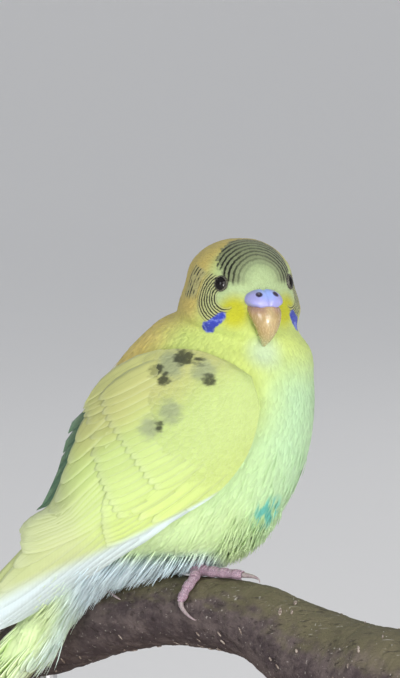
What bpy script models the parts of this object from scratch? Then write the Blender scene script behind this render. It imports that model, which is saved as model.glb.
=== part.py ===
"""A budgerigar sitting on a cut length of branch, on a plain display stand.

Sizes are in millimetres. A place is (x, ahead, up): x runs to the bird's left, ahead the way its
breast points, and up from the top of the branch under its right foot. place() turns that into
the model's frame, in metres, with the origin under the middle of the stand's base.
"""

import math

import bmesh
import bpy
import numpy as np
from mathutils import Matrix, Vector

MM = 0.001
GAP = 0.3
WELD = 0.0000001

# The stand: a flat base and two rods that hold the branch well above it.
BASE_LENGTH = 128.0
BASE_WIDTH = 92.0
BASE_THICKNESS = 10.0
BASE_EDGE = 1.5
BASE_AHEAD = -5.0
PERCH_TOP = 78.0
ROD_RADIUS = 2.5
ROD_SIDES = 16
SOCKET_DEPTH = 5.0
REAR_ROD_AHEAD = -43.5
FRONT_ROD_AHEAD = 43.0

# The branch: its middle line as (ahead, up), and its radius there.
PERCH_LINE = [
    (-64.0, -29.0, 9.2),
    (-50.0, -23.6, 9.1),
    (-36.0, -18.0, 9.2),
    (-21.0, -12.2, 9.2),
    (-6.0, -8.9, 9.0),
    (8.0, -8.6, 9.3),
    (18.0, -9.8, 9.8),
    (28.0, -14.2, 11.2),
    (42.0, -19.6, 13.4),
    (55.0, -22.8, 15.2),
    (68.0, -25.4, 15.8),
]
PERCH_SIDE = -6.0
PERCH_SKEW = -0.62
PERCH_SIDES = 16
PERCH_STEPS = 24
PERCH_QUIET = (-32.0, 22.0)
KNOT_AHEAD = 50.0
KNOT_HEIGHT = 1.6
KNOT_REACH = 9.0

# The torso: for each section the top of the back, the underside and the half width.
TORSO = [
    ((-45.8, -9.5), (-36.0, -18.6), 6.4),
    ((-42.5, -1.0), (-30.6, -7.6), 9.2),
    ((-40.0, 8.0), (-21.0, 1.4), 13.0),
    ((-37.0, 18.0), (-8.0, 4.7), 17.0),
    ((-33.5, 28.0), (4.5, 4.9), 19.6),
    ((-30.0, 37.5), (15.0, 9.8), 20.8),
    ((-26.0, 46.0), (22.8, 19.6), 21.2),
    ((-22.5, 52.5), (27.6, 31.0), 20.4),
    ((-18.6, 58.0), (29.3, 42.0), 18.8),
    ((-14.4, 62.2), (29.2, 51.0), 16.4),
    ((-10.6, 65.7), (28.4, 58.4), 13.2),
]

# The head, turned to the bird's right, and the neck that carries it round.
HEAD_YAW = math.radians(57.0)
HEAD_AHEAD = 10.5
JAW = (66.4, 7.0, 12.3, 16.2, 16.4)
NECK_SIDE = 1.3
CHEEK = (70.4, 5.0, 13.6, 15.6, 15.6)
BROW_UP = 74.6
BROW = (13.3, 14.7, 14.1)
CROWN_RISE = 11.8
FACE_POWER = 1.82
CROWN_STEPS = (0.0, 24.0, 45.0, 62.0, 76.0)

# Where the neck starts and ends, counted in the body's sections.
NECK_FROM = 9.5
HEAD_FROM = 11.5
RING_SIDES = 26

# The eyes and their lids.
EYE_RADIUS = 2.5
EYE_UP = 75.6
EYE_ANGLE = math.radians(47.0)
EYE_SUNK = 1.6
LID_RADIUS = 2.15
LID_THICKNESS = 0.45

# The bill, in the head's own frame: (forward, up) along its ridge and its cutting edge.
BILL_RIDGE = [(14.2, 71.6), (16.9, 69.8), (18.1, 67.0), (17.7, 64.0), (16.0, 61.4), (13.6, 59.7)]
BILL_EDGE = [(10.0, 68.0), (11.4, 66.2), (12.4, 64.8), (13.0, 63.3), (13.1, 61.6), (12.9, 59.9)]
BILL_HALF_WIDTH = [4.3, 4.4, 4.0, 3.1, 1.8, 0.45]
BILL_SIDES = 12
LOWER_BILL_LINE = [(8.2, 65.0), (10.6, 63.7), (12.6, 62.1)]
LOWER_BILL_HALF_WIDTH = [3.0, 3.3, 2.0]
LOWER_BILL_HALF_DEPTH = [1.8, 1.8, 1.0]
CERE_LINE = [(9.8, 71.2), (12.6, 71.6), (15.4, 70.8), (16.6, 69.8)]
CERE_HALF_WIDTH = [4.6, 5.1, 4.7, 3.6]
CERE_HALF_DEPTH = [2.2, 2.6, 2.3, 1.5]
NOSTRIL = (16.2, 2.25, 72.3)
NOSTRIL_RADIUS = 0.55

# The wings, drawn as they are seen from the side: the front and lower edge, and the back edge.
WING_LIFT = 1.3
WING_FRONT = [
    (15.5, 52.5), (17.2, 44.0), (14.5, 33.5), (8.0, 24.6), (0.0, 18.8), (-10.0, 12.6),
    (-20.0, 7.4), (-30.0, 0.4), (-41.0, -7.2), (-52.5, -13.2), (-64.0, -18.6),
]
WING_BACK = [
    (11.0, 55.5), (2.0, 58.5), (-8.0, 58.0), (-18.0, 52.0), (-24.5, 44.5), (-29.5, 34.0),
    (-34.0, 23.0), (-41.5, 11.0), (-52.0, -0.5), (-59.0, -10.0), (-65.0, -17.6),
]
ARM_THICKNESS = [1.4, 2.0, 2.2, 2.0, 1.7, 1.3, 0.9]
ARM_REACH = 0.52
ARM_ACROSS = 4
ARM_ALONG = 7

# Feathers: where along a long and a short one its outline is set, and its width there as a share.
LONG_VANE = ((0.0, 0.5), (0.35, 0.92), (0.68, 1.0), (0.9, 0.76), (1.0, 0.22))
SHORT_VANE = ((0.0, 0.6), (0.5, 1.0), (0.85, 0.8), (1.0, 0.26))
TAIL_VANE = ((0.0, 0.7), (0.72, 1.0), (0.93, 0.74), (1.0, 0.2))
VANE_THICKNESS = 0.62

# A tier of a wing: the outline, the first and last feather's root and tip, seen from the side, the
# bulge of the line of tips, then count, width, lift at root and tip, and rise of the lower edge.
OUTER_PRIMARIES = (LONG_VANE, (3.0, 24.0), (2.5, 25.0), (-49.5, -12.3), (-57.0, -15.9), 0.0, 2, 7.4,
                   1.0, 0.7, 0.45)
PRIMARIES = (LONG_VANE, (3.0, 25.5), (-4.0, 35.5), (-64.2, -18.8), (-46.5, 4.0), 0.0, 6, 8.2, 0.9,
             1.3, 0.62)
SECONDARIES = (SHORT_VANE, (-1.0, 33.0), (-11.0, 51.0), (-42.8, 8.6), (-27.9, 39.6), 2.0, 5, 9.6,
               0.9, 1.6, 0.5)
ALULA = (SHORT_VANE, (12.0, 33.0), (9.0, 37.0), (-10.0, 16.8), (-15.5, 18.6), 0.0, 2, 6.4, 0.9,
         1.6, 0.5)
GREATER_COVERTS = (SHORT_VANE, (4.0, 32.5), (-10.0, 52.5), (-19.0, 18.5), (-26.0, 43.0), 1.6, 4,
                   11.0, 0.9, 2.0, 0.5)
MEDIAN_COVERTS = (SHORT_VANE, (9.0, 39.5), (-5.0, 55.5), (-7.5, 27.5), (-22.8, 48.4), 1.2, 3, 11.0,
                  0.9, 2.6, 0.45)
SCAPULARS = (SHORT_VANE, (-4.0, 56.0), (-10.0, 57.5), (-22.0, 48.0), (-25.4, 45.0), 0.0, 2, 8.2,
             1.0, 3.2, 0.3)
WING_TIERS = (OUTER_PRIMARIES, PRIMARIES, SECONDARIES, ALULA, GREATER_COVERTS, MEDIAN_COVERTS,
              SCAPULARS)

# Past the rump the folded wings run on beside the tail: sections for their inner face.
WING_RUN = [
    ((-72.0, -19.0), (-61.0, -28.0), 4.6),
    ((-64.0, -10.0), (-51.5, -20.5), 7.4),
    ((-57.5, -1.5), (-42.0, -13.5), 10.6),
    ((-51.5, 7.0), (-32.0, -7.0), 13.9),
    ((-45.5, 15.0), (-21.5, -1.5), 16.4),
]

# The tail, from its root plane: direction, roll and length past the root.
TAIL_ROOT = (-41.3, -13.8)
TAIL_SLOPE = math.radians(49.0)
TAIL_ROLL = math.radians(25.0)
TAIL_LENGTH = 61.0
# The coverts that the tail grows from: how far along, half width and half depth of each ring.
TAIL_BLOCK = ((4.5, 6.6, 5.6), (9.8, 6.3, 4.6), (15.0, 4.6, 3.2))
TAIL_BLOCK_DROP = 0.9
TAIL_SINK = 4.0
TAIL_PAIRS = (1.0, 0.76, 0.66, 0.57, 0.48, 0.40)
TAIL_LEVEL = 1.0
TAIL_STAGGER = 0.21
TAIL_TOP = 2.4
TAIL_VANE_WIDTH = 8.2
TAIL_SPREAD = 0.55
TAIL_DROOP = 1.05
# Tail coverts: how far out of the middle, how far below the tail's middle, and length.
UPPER_COVERTS = ((0.0, 3.7, 24.0), (-3.0, 3.1, 19.0), (2.8, 3.25, 19.5))
UNDER_COVERTS = ((-3.0, -4.5, 26.0), (3.1, -4.3, 25.0), (0.2, -5.8, 29.0))

# The legs and the feet: how far ahead each foot stands and how far to the side its hip is.
RIGHT_FOOT = 0.3
LEFT_FOOT = -20.5
RIGHT_HIP = -8.6
LEFT_HIP = 8.0
LEG_LIFT = 4.3
LEG_HEIGHT = 14.0
LEG_SET_BACK = 6.0
LEG_RADII = (1.6, 2.3, 3.4, 4.3, 4.6, 4.0)
LEG_SIDES = 14
PAD_HALF_SIZE = (2.3, 2.6, 1.4)
PAD_LIFT = 1.75
TOE_SIDES = 7
TOE_REST = GAP + 0.15
# Each toe: (distance ahead of the foot, turn round the branch) along it, its claw's tip, its radius.
RIGHT_TOES = {
    "2": ([(0.8, -0.12), (3.4, -0.50), (6.0, -0.85), (8.0, -1.15)], (11.0, -1.50), 1.1),
    "3": ([(1.6, 0.05), (5.0, 0.08), (8.5, 0.05), (11.6, 0.00)], (15.6, -0.02), 1.25),
    "4": ([(0.2, 0.14), (2.2, 0.50), (2.2, 0.90), (2.0, 1.20)], (6.3, 1.62), 1.25),
    "1": ([(-1.0, -0.10), (-2.8, -0.42), (-4.2, -0.75), (-5.0, -1.00)], (-5.4, -1.44), 1.0),
}
LEFT_TOES = {
    "2": ([(0.6, 0.12), (1.2, 0.30), (1.4, 0.46), (1.3, 0.62)], (5.6, 1.10), 1.1),
    "3": ([(1.6, -0.10), (4.5, -0.30), (7.5, -0.45), (10.5, -0.55)], (14.2, -0.75), 1.25),
    "4": ([(-0.8, -0.15), (-2.4, -0.50), (-3.6, -0.90), (-4.4, -1.25)], (-3.8, -1.70), 1.25),
    "1": ([(-1.0, 0.10), (-3.0, 0.36), (-4.6, 0.62), (-5.4, 0.85)], (-5.6, 1.30), 1.0),
}
CLAW_RADIUS = 0.72
CLAW_TAPER = 0.82
CLAW_ARCH = 1.5
CLAW_SIDES = 7

# Finishes: colour, roughness and metal of each kind of surface.
FINISHES = {
    "body_plumage": ((0.78, 0.74, 0.22), 0.85, 0.0),
    "wing_plumage": ((0.84, 0.78, 0.30), 0.75, 0.0),
    "bare_skin": ((0.60, 0.42, 0.44), 0.6, 0.0),
    "bill_horn": ((0.78, 0.48, 0.26), 0.35, 0.0),
    "cere_skin": ((0.42, 0.40, 0.72), 0.5, 0.0),
    "eye_black": ((0.01, 0.01, 0.01), 0.05, 0.0),
    "bark": ((0.16, 0.12, 0.09), 0.9, 0.0),
    "stand_wood": ((0.45, 0.33, 0.22), 0.5, 0.0),
    "stand_metal": ((0.7, 0.7, 0.7), 0.3, 1.0),
}


def place(x, ahead, up):
    """The model's frame, in metres, for a place in millimetres."""
    return Vector((x, BASE_AHEAD - ahead, up + PERCH_TOP)) * MM


def clear_scene():
    """Removes whatever the file holds, so that a run always starts from nothing."""
    for item in list(bpy.data.objects):
        bpy.data.objects.remove(item)


def finish_material(name, colour, roughness, metallic=0.0):
    """A plain Principled material."""
    material = bpy.data.materials.new(name)
    material.use_nodes = True
    shader = material.node_tree.nodes["Principled BSDF"]
    shader.inputs["Base Color"].default_value = (*colour, 1.0)
    shader.inputs["Roughness"].default_value = roughness
    shader.inputs["Metallic"].default_value = metallic
    return material


def add_mesh(name, points, faces, material=None):
    """A mesh object from points already in the model's frame."""
    mesh = bpy.data.meshes.new(name)
    mesh.from_pydata([tuple(point) for point in points], [], faces)
    if material:
        mesh.materials.append(material)
    item = bpy.data.objects.new(name, mesh)
    bpy.context.collection.objects.link(item)
    work = bmesh.new()
    work.from_mesh(mesh)
    bmesh.ops.triangulate(work, faces=[face for face in work.faces if len(face.verts) > 4])
    bmesh.ops.recalc_face_normals(work, faces=work.faces)
    if work.calc_volume(signed=True) < 0:
        bmesh.ops.reverse_faces(work, faces=work.faces)
    work.to_mesh(mesh)
    work.free()
    return item


def skin_rings(name, rings, material=None, start=None, end=None):
    """Joins rings of points side by side and closes both ends, with a point there if one is given."""
    sides = len(rings[0])
    points = [point for ring in rings for point in ring]
    faces = []
    for step in range(len(rings) - 1):
        low = step * sides
        for side in range(sides):
            after = (side + 1) % sides
            faces.append((low + side, low + after, low + sides + after, low + sides + side))
    last = (len(rings) - 1) * sides
    for at, tip in ((0, start), (last, end)):
        if tip is None:
            faces.append(tuple(range(at, at + sides)))
            continue
        points.append(tip)
        for side in range(sides):
            faces.append((at + side, at + (side + 1) % sides, len(points) - 1))
    return add_mesh(name, points, faces, material)


def smooth(values, at):
    """A Catmull-Rom curve through rows of numbers, at a place counted in rows."""
    table = np.asarray(values, float)
    last = len(table) - 1
    at = min(max(at, 0.0), float(last))
    low = min(int(at), last - 1)
    t = at - low
    p1, p2 = table[low], table[low + 1]
    p0 = table[low - 1] if low > 0 else 2 * p1 - p2
    p3 = table[low + 2] if low + 2 <= last else 2 * p2 - p1
    return 0.5 * (
        2 * p1
        + (p2 - p0) * t
        + (2 * p0 - 5 * p1 + 4 * p2 - p3) * t * t
        + (3 * p1 - 3 * p2 + p3 - p0) * t ** 3
    )


def apply_boolean(item, cutters, operation):
    """Joins or cuts an object with others, applies it, and removes the others."""
    group = bpy.data.collections.new("cutters")
    bpy.context.scene.collection.children.link(group)
    for cutter in cutters:
        group.objects.link(cutter)
    modifier = item.modifiers.new("join", "BOOLEAN")
    modifier.operation = operation
    modifier.operand_type = "COLLECTION"
    modifier.collection = group
    modifier.solver = "EXACT"
    bpy.context.view_layer.update()
    evaluated = item.evaluated_get(bpy.context.evaluated_depsgraph_get())
    mesh = bpy.data.meshes.new_from_object(evaluated)
    item.modifiers.remove(modifier)
    item.data = mesh
    for cutter in cutters:
        bpy.data.objects.remove(cutter)
    bpy.data.collections.remove(group)
    keep_largest(item)
    return item


def keep_largest(item):
    """Keeps the largest closed surface of a mesh."""
    work = bmesh.new()
    work.from_mesh(item.data)
    bmesh.ops.remove_doubles(work, verts=work.verts, dist=WELD)
    bmesh.ops.dissolve_degenerate(work, edges=work.edges, dist=WELD)
    bmesh.ops.triangulate(work, faces=work.faces)
    unseen = set(work.faces)
    shells = []
    while unseen:
        front = [unseen.pop()]
        shell = list(front)
        while front:
            for edge in front.pop().edges:
                for face in edge.link_faces:
                    if face in unseen:
                        unseen.remove(face)
                        front.append(face)
                        shell.append(face)
        shells.append(shell)
    shells.sort(key=lambda shell: shell_volume(shell), reverse=True)
    loose = [face for shell in shells[1:] for face in shell]
    bmesh.ops.delete(work, geom=loose, context="FACES")
    work.to_mesh(item.data)
    work.free()


def shell_volume(faces):
    """The volume inside a closed set of triangles."""
    total = 0.0
    for face in faces:
        a, b, c = (vert.co for vert in face.verts)
        total += a.dot(b.cross(c)) / 6.0
    return abs(total)


def round_shade(item, angle=40.0):
    """Smooth shading, with edges sharper than the angle kept."""
    item.data.shade_smooth()
    item.data.set_sharp_from_angle(angle=math.radians(angle))


# The body's sections


def torso_row(section, grow=0.0):
    """A torso section as numbers: middle, turn, tilt, reach ahead and back, half width, power."""
    (back_ahead, back_up), (front_ahead, front_up), half_width = section
    tilt = math.atan2(back_up - front_up, front_ahead - back_ahead)
    depth = math.hypot(front_ahead - back_ahead, back_up - front_up) / 2 + grow
    middle = ((back_ahead + front_ahead) / 2, (back_up + front_up) / 2)
    return [0.0, middle[0], middle[1], 0.0, tilt, depth, depth, half_width + grow, 2.0]


def head_row(up, tilt_degrees, front, back, half_width, turn=1.0, power=FACE_POWER):
    """A head section as the same numbers, turned with the head."""
    tilt = math.radians(tilt_degrees)
    return [0.0, HEAD_AHEAD, up, HEAD_YAW * turn, tilt, front, back, half_width, power]


def body_rows():
    """Every section from the tail's root to the crown."""
    rows = [torso_row(section) for section in TORSO]
    rows[-1][0] = NECK_SIDE
    rows.append(head_row(*JAW, turn=0.8, power=1.95))
    rows.append(head_row(*CHEEK))
    for degrees in CROWN_STEPS:
        angle = math.radians(degrees)
        size = [reach * math.cos(angle) for reach in BROW]
        tilt = 4.0 * math.cos(angle)
        rows.append(head_row(BROW_UP + CROWN_RISE * math.sin(angle), tilt, *size))
    return rows


def ring_frame(row):
    """The middle, forward, side and upward directions of a section."""
    x, ahead, up, yaw, tilt = row[:5]
    forward = np.array([-math.sin(yaw) * math.cos(tilt), math.cos(yaw) * math.cos(tilt),
                        -math.sin(tilt)])
    side = np.array([math.cos(yaw), math.sin(yaw), 0.0])
    upward = np.cross(side, forward)
    return np.array([x, ahead, up]), forward, side, upward


def ring_point(row, angle, lift=0.0):
    """A point of a section: angle 0 is in front, a quarter turn is on the bird's left."""
    middle, forward, side, upward = ring_frame(row)
    front, back, half_width, power = row[5:9]
    c, s = math.cos(angle), math.sin(angle)
    reach = front if c >= 0 else back
    shape = power if c >= 0 else 2.0
    size = (abs(c) ** shape + abs(s) ** shape) ** (-1.0 / shape)
    return middle + forward * (c * size * reach) + side * (s * size * half_width) + upward * lift


def ring_points(row, lift=0.0, sides=RING_SIDES):
    """All the points of a section."""
    return [ring_point(row, 2 * math.pi * side / sides, lift) for side in range(sides)]


def to_frame(points):
    """Points in the model's frame."""
    return [place(*point) for point in points]


def body_length(rows, name, first, last, steps, material, lower=0.0, upper=0.0, end=None):
    """One length of the body, between two places along its sections."""
    rings = []
    for step in range(steps + 1):
        row = smooth(rows, first + (last - first) * step / steps)
        lift = lower if step == 0 else (-upper if step == steps else 0.0)
        rings.append(to_frame(ring_points(row, lift)))
    tip = place(*end) if end is not None else None
    return skin_rings(name, rings, material, end=tip)


def make_torso(rows, material):
    """The trunk, from the tail's root to the base of the neck."""
    return body_length(rows, "torso", 0.0, NECK_FROM, 16, material, upper=GAP / 2)


def make_neck(rows, material):
    """The short neck, which turns the head to the bird's right."""
    return body_length(rows, "neck", NECK_FROM, HEAD_FROM, 4, material, GAP / 2, GAP / 2)


def make_head(rows, material):
    """The head, with its crown closed by a point."""
    last = len(rows) - 1
    top = (0.0, HEAD_AHEAD, BROW_UP + CROWN_RISE)
    return body_length(rows, "head", HEAD_FROM, last, 13, material, lower=GAP / 2, end=top)


def head_place(forward, side, up):
    """A place given in the head's own frame."""
    c, s = math.cos(HEAD_YAW), math.sin(HEAD_YAW)
    return (-s * forward + c * side, HEAD_AHEAD + c * forward + s * side, up)


def head_surface(rows, angle, up):
    """The point of the head's surface at an angle from its front and a height."""
    low, high = HEAD_FROM - 1.0, float(len(rows) - 1)
    for _ in range(40):
        middle = (low + high) / 2
        if ring_point(smooth(rows, middle), angle)[2] < up:
            low = middle
        else:
            high = middle
    return ring_point(smooth(rows, low), angle)


# The bill and the eyes


def bill_rings(grow=0.0):
    """Rings of the upper bill, between its ridge and its cutting edge."""
    rings = []
    steps = 8
    last = len(BILL_RIDGE) - 1
    for step in range(steps + 1):
        at = step * last / steps
        ridge = smooth(BILL_RIDGE, at)
        edge = smooth(BILL_EDGE, at)
        if step in (0, steps):
            near = smooth(BILL_RIDGE, 0.1 if step == 0 else last - 0.1)
            near = near + smooth(BILL_EDGE, 0.1 if step == 0 else last - 0.1)
            out = (ridge + edge - near) / np.linalg.norm(ridge + edge - near) * grow
            ridge, edge = ridge + out, edge + out
        half = float(smooth([[w] for w in BILL_HALF_WIDTH], at)[0]) + grow
        middle = (ridge + edge) / 2
        depth = float(np.linalg.norm(ridge - edge)) / 2 + grow
        line = (ridge - edge) / np.linalg.norm(ridge - edge)
        ring = []
        for side in range(BILL_SIDES):
            angle = 2 * math.pi * side / BILL_SIDES
            forward, up = middle + line * (math.cos(angle) * depth)
            ring.append(place(*head_place(forward, math.sin(angle) * half, up)))
        rings.append(ring)
    return rings


def bar_rings(line, half_widths, half_depths, sides, steps, grow=0.0):
    """Rings of a rounded bar in the head's frame, across a line in its middle plane."""
    rings = []
    last = len(line) - 1
    for step in range(steps + 1):
        at = step * last / steps
        middle = smooth(line, at)
        before = smooth(line, max(at - 0.1, 0.0))
        after = smooth(line, min(at + 0.1, float(last)))
        along = (after - before) / np.linalg.norm(after - before)
        across = np.array([-along[1], along[0]])
        half = float(smooth([[w] for w in half_widths], at)[0]) + grow
        depth = float(smooth([[d] for d in half_depths], at)[0]) + grow
        if step in (0, steps):
            middle = middle + along * (grow if step else -grow)
        ring = []
        for side in range(sides):
            angle = 2 * math.pi * side / sides
            forward, up = middle + across * (math.cos(angle) * depth)
            ring.append(place(*head_place(forward, math.sin(angle) * half, up)))
        rings.append(ring)
    return rings


def make_upper_bill(name, material=None, grow=0.0):
    """The hooked upper bill."""
    return skin_rings(name, bill_rings(grow), material)


def make_lower_bill(name, material=None, grow=0.0):
    """The short lower bill, tucked in behind the upper one."""
    rings = bar_rings(LOWER_BILL_LINE, LOWER_BILL_HALF_WIDTH, LOWER_BILL_HALF_DEPTH, 12, 5, grow)
    return skin_rings(name, rings, material)


def make_cere(name, material=None, grow=0.0):
    """The bare, swollen skin above the bill."""
    rings = bar_rings(CERE_LINE, CERE_HALF_WIDTH, CERE_HALF_DEPTH, 16, 6, grow)
    return skin_rings(name, rings, material)


def make_ball(name, middle, radius, material=None, rings=7, sides=12):
    """A ball with its poles up and down."""
    work = bmesh.new()
    bmesh.ops.create_uvsphere(work, u_segments=sides, v_segments=rings, radius=radius * MM)
    bmesh.ops.translate(work, verts=work.verts, vec=middle)
    mesh = bpy.data.meshes.new(name)
    work.to_mesh(mesh)
    work.free()
    if material:
        mesh.materials.append(material)
    item = bpy.data.objects.new(name, mesh)
    bpy.context.collection.objects.link(item)
    return item


def eye_frame(rows, side):
    """The middle of an eye, and the way it looks out."""
    on_skin = place(*head_surface(rows, EYE_ANGLE * side, EYE_UP))
    near = place(*head_surface(rows, (EYE_ANGLE + 0.06) * side, EYE_UP))
    above = place(*head_surface(rows, EYE_ANGLE * side, EYE_UP + 1.0))
    out = (near - on_skin).cross(above - on_skin) * side
    out.normalize()
    if out.dot(on_skin - place(*head_place(0.0, 0.0, EYE_UP))) < 0:
        out = -out
    return on_skin - out * (EYE_SUNK * MM), out, on_skin


def make_lid(rows, side):
    """The ring of bare skin that forms the lids of an eye."""
    _, out, on_skin = eye_frame(rows, side)
    turn = out.to_track_quat("Z", "Y").to_matrix()
    points = []
    faces = []
    around, tube = 14, 5
    for step in range(around):
        angle = 2 * math.pi * step / around
        for part in range(tube):
            bend = 2 * math.pi * part / tube
            reach = LID_RADIUS + LID_THICKNESS * math.cos(bend)
            spot = Vector((reach * math.cos(angle), reach * math.sin(angle),
                           LID_THICKNESS * math.sin(bend)))
            points.append(on_skin + turn @ spot * MM)
            nxt = (step + 1) % around
            far = (part + 1) % tube
            faces.append((step * tube + part, nxt * tube + part, nxt * tube + far,
                          step * tube + far))
    return add_mesh("lid", points, faces)


# The wings


def wing_rows():
    """The sections that the wings lie on: past the rump, and then over the torso."""
    rows = [torso_row(section) for section in WING_RUN]
    rows += [torso_row(section, WING_LIFT) for section in TORSO[3:]]
    return rows


def side_to_section(rows, ahead, up):
    """The section and the angle of a point that is given as it is seen from the bird's side."""
    def beyond(at):
        row = smooth(rows, at)
        _, forward, side, upward = ring_frame(row)
        return (ahead - row[1]) * upward[1] + (up - row[2]) * upward[2]

    low, high = 0.0, float(len(rows) - 1)
    for _ in range(30):
        middle = (low + high) / 2
        if beyond(middle) > 0:
            low = middle
        else:
            high = middle
    row = smooth(rows, low)
    _, forward, _, _ = ring_frame(row)
    along = ((ahead - row[1]) * forward[1] + (up - row[2]) * forward[2]) / row[5]
    return low, math.acos(min(max(along, -0.985), 0.985))


def wing_surface(rows, ahead, up, lift):
    """A point over the body's side, and the way out of it, for the left wing."""
    at, angle = side_to_section(rows, ahead, up)
    spot = ring_point(smooth(rows, at), angle)
    near = ring_point(smooth(rows, at), angle + 0.05)
    step = 0.05 if at < len(rows) - 1.05 else -0.05
    above = ring_point(smooth(rows, at + step), angle)
    out = np.cross(near - spot, above - spot) * (1 if step > 0 else -1)
    out /= np.linalg.norm(out)
    if out[0] < 0:
        out = -out
    return spot + out * lift, out


def arm_shell(rows, side):
    """The wing's arm: a shell over the body's side, which the feathers grow from."""
    last = (len(WING_FRONT) - 1) * ARM_REACH
    inner, outer = [], []
    for step in range(ARM_ALONG + 1):
        at = last * step / ARM_ALONG
        front = smooth(WING_FRONT, at)
        back = smooth(WING_BACK, at)
        share = step / ARM_ALONG * (len(ARM_THICKNESS) - 1)
        thick = float(smooth([[t] for t in ARM_THICKNESS], share)[0])
        for part in range(ARM_ACROSS + 1):
            b = part / ARM_ACROSS
            ahead, up = front * (1 - b) + back * b
            crown = 0.5 + 0.5 * math.sin(math.pi * min(max(b, 0.1), 0.9))
            low, _ = wing_surface(rows, ahead, up, 0.0)
            high, _ = wing_surface(rows, ahead, up, thick * crown)
            inner.append(place(low[0] * side, low[1], low[2]))
            outer.append(place(high[0] * side, high[1], high[2]))
    row = ARM_ACROSS + 1
    count = len(inner)
    faces = []
    for step in range(ARM_ALONG):
        for part in range(ARM_ACROSS):
            a = step * row + part
            faces += [(a, a + 1, a + row + 1), (a, a + row + 1, a + row)]
            a += count
            faces += [(a, a + row + 1, a + 1), (a, a + row, a + row + 1)]
        for a, b in ((step * row, (step + 1) * row),
                     ((step + 1) * row + row - 1, step * row + row - 1)):
            faces.append((a, b, count + b, count + a))
    for part in range(ARM_ACROSS):
        faces.append((part + 1, part, count + part, count + part + 1))
        a = ARM_ALONG * row + part
        faces.append((a, a + 1, count + a + 1, count + a))
    return inner + outer, faces


def vane_mesh(name, stations, material=None):
    """A flat, tapered feather from stations of (middle, across, out, half width, rise)."""
    rings = []
    for middle, across, out, half, rise in stations:
        ring = []
        for edge, face in ((-1, 1), (1, 1), (1, -1), (-1, -1)):
            lift = -rise * edge + face * VANE_THICKNESS / 2
            ring.append(place(*(middle + across * (half * edge) + out * lift)))
        rings.append(ring)
    points = [point for ring in rings for point in ring]
    faces = [(0, 1, 2), (0, 2, 3)]
    for step in range(len(rings) - 1):
        low = step * 4
        for part in range(4):
            a, b = low + part, low + (part + 1) % 4
            # The two broad faces share a diagonal, so that they can't cross where the vane curves.
            if part == 2:
                faces += [(a, b, a + 4), (b, b + 4, a + 4)]
            else:
                faces += [(a, b, b + 4), (a, b + 4, a + 4)]
    low = (len(rings) - 1) * 4
    faces += [(low, low + 2, low + 1), (low, low + 3, low + 2)]
    return add_mesh(name, points, faces, material)


def wing_vane(rows, side, shape, root, tip, width, lifts, rise):
    """One feather of a folded wing, laid over the body's side."""
    root, tip = np.array(root), np.array(tip)
    spots = []
    for t, _ in shape:
        ahead, up = root + (tip - root) * t
        spot, out = wing_surface(rows, ahead, up, lifts[0] + (lifts[1] - lifts[0]) * t ** 0.7)
        spots.append((spot, out))
    stations = []
    for at, (spot, out) in enumerate(spots):
        before = spots[max(at - 1, 0)][0]
        after = spots[min(at + 1, len(spots) - 1)][0]
        across = np.cross(out, after - before)
        across /= np.linalg.norm(across)
        if across[2] < 0:
            across = -across
        share = shape[at][1]
        flip = np.array([side, 1.0, 1.0])
        stations.append((spot * flip, across * flip, out * flip, width / 2 * share, rise * share))
    return vane_mesh("vane", stations)


def tier(rows, side, shape, root_a, root_b, tip_a, tip_b, bulge, count, width, low, high, rise):
    """A row of feathers between a first and a last one."""
    vanes = []
    for feather in range(count):
        t = feather / (count - 1)
        root = np.array(root_a) * (1 - t) + np.array(root_b) * t
        tip = np.array(tip_a) * (1 - t) + np.array(tip_b) * t
        out = (tip - root) / np.linalg.norm(tip - root)
        tip = tip + out * (bulge * 4 * t * (1 - t))
        vanes.append(wing_vane(rows, side, shape, root, tip, width, (low, high), rise))
    return vanes


def make_wing(rows, name, side, material):
    """A folded wing, +1 for the left one: its arm with every tier of feathers rooted in it."""
    points, faces = arm_shell(rows, side)
    wing = add_mesh(name, points, faces, material)
    vanes = []
    for values in WING_TIERS:
        vanes += tier(rows, side, *values)
    return apply_boolean(wing, vanes, "UNION")


# The tail


def tail_axes():
    """The tail's direction, its side and its back, as (x, ahead, up)."""
    along = np.array([0.0, -math.cos(TAIL_SLOPE), -math.sin(TAIL_SLOPE)])
    side = np.array([1.0, 0.0, 0.0])
    top = np.array([0.0, -math.sin(TAIL_SLOPE), math.cos(TAIL_SLOPE)])
    c, s = math.cos(TAIL_ROLL), math.sin(TAIL_ROLL)
    return along, side * c - top * s, top * c + side * s


def tail_vane(along, side, top, root, tip, width, rise):
    """One straight feather of the tail: root and tip are (along, out to the side, towards the top)."""
    stations = []
    start = np.array([0.0, *TAIL_ROOT])
    for t, share in TAIL_VANE:
        spot = np.array(root) * (1 - t) + np.array(tip) * t
        middle = start + along * spot[0] + side * spot[1] + top * spot[2]
        stations.append((middle, side, top, width / 2 * share, rise * share))
    return vane_mesh("vane", stations)


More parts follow.
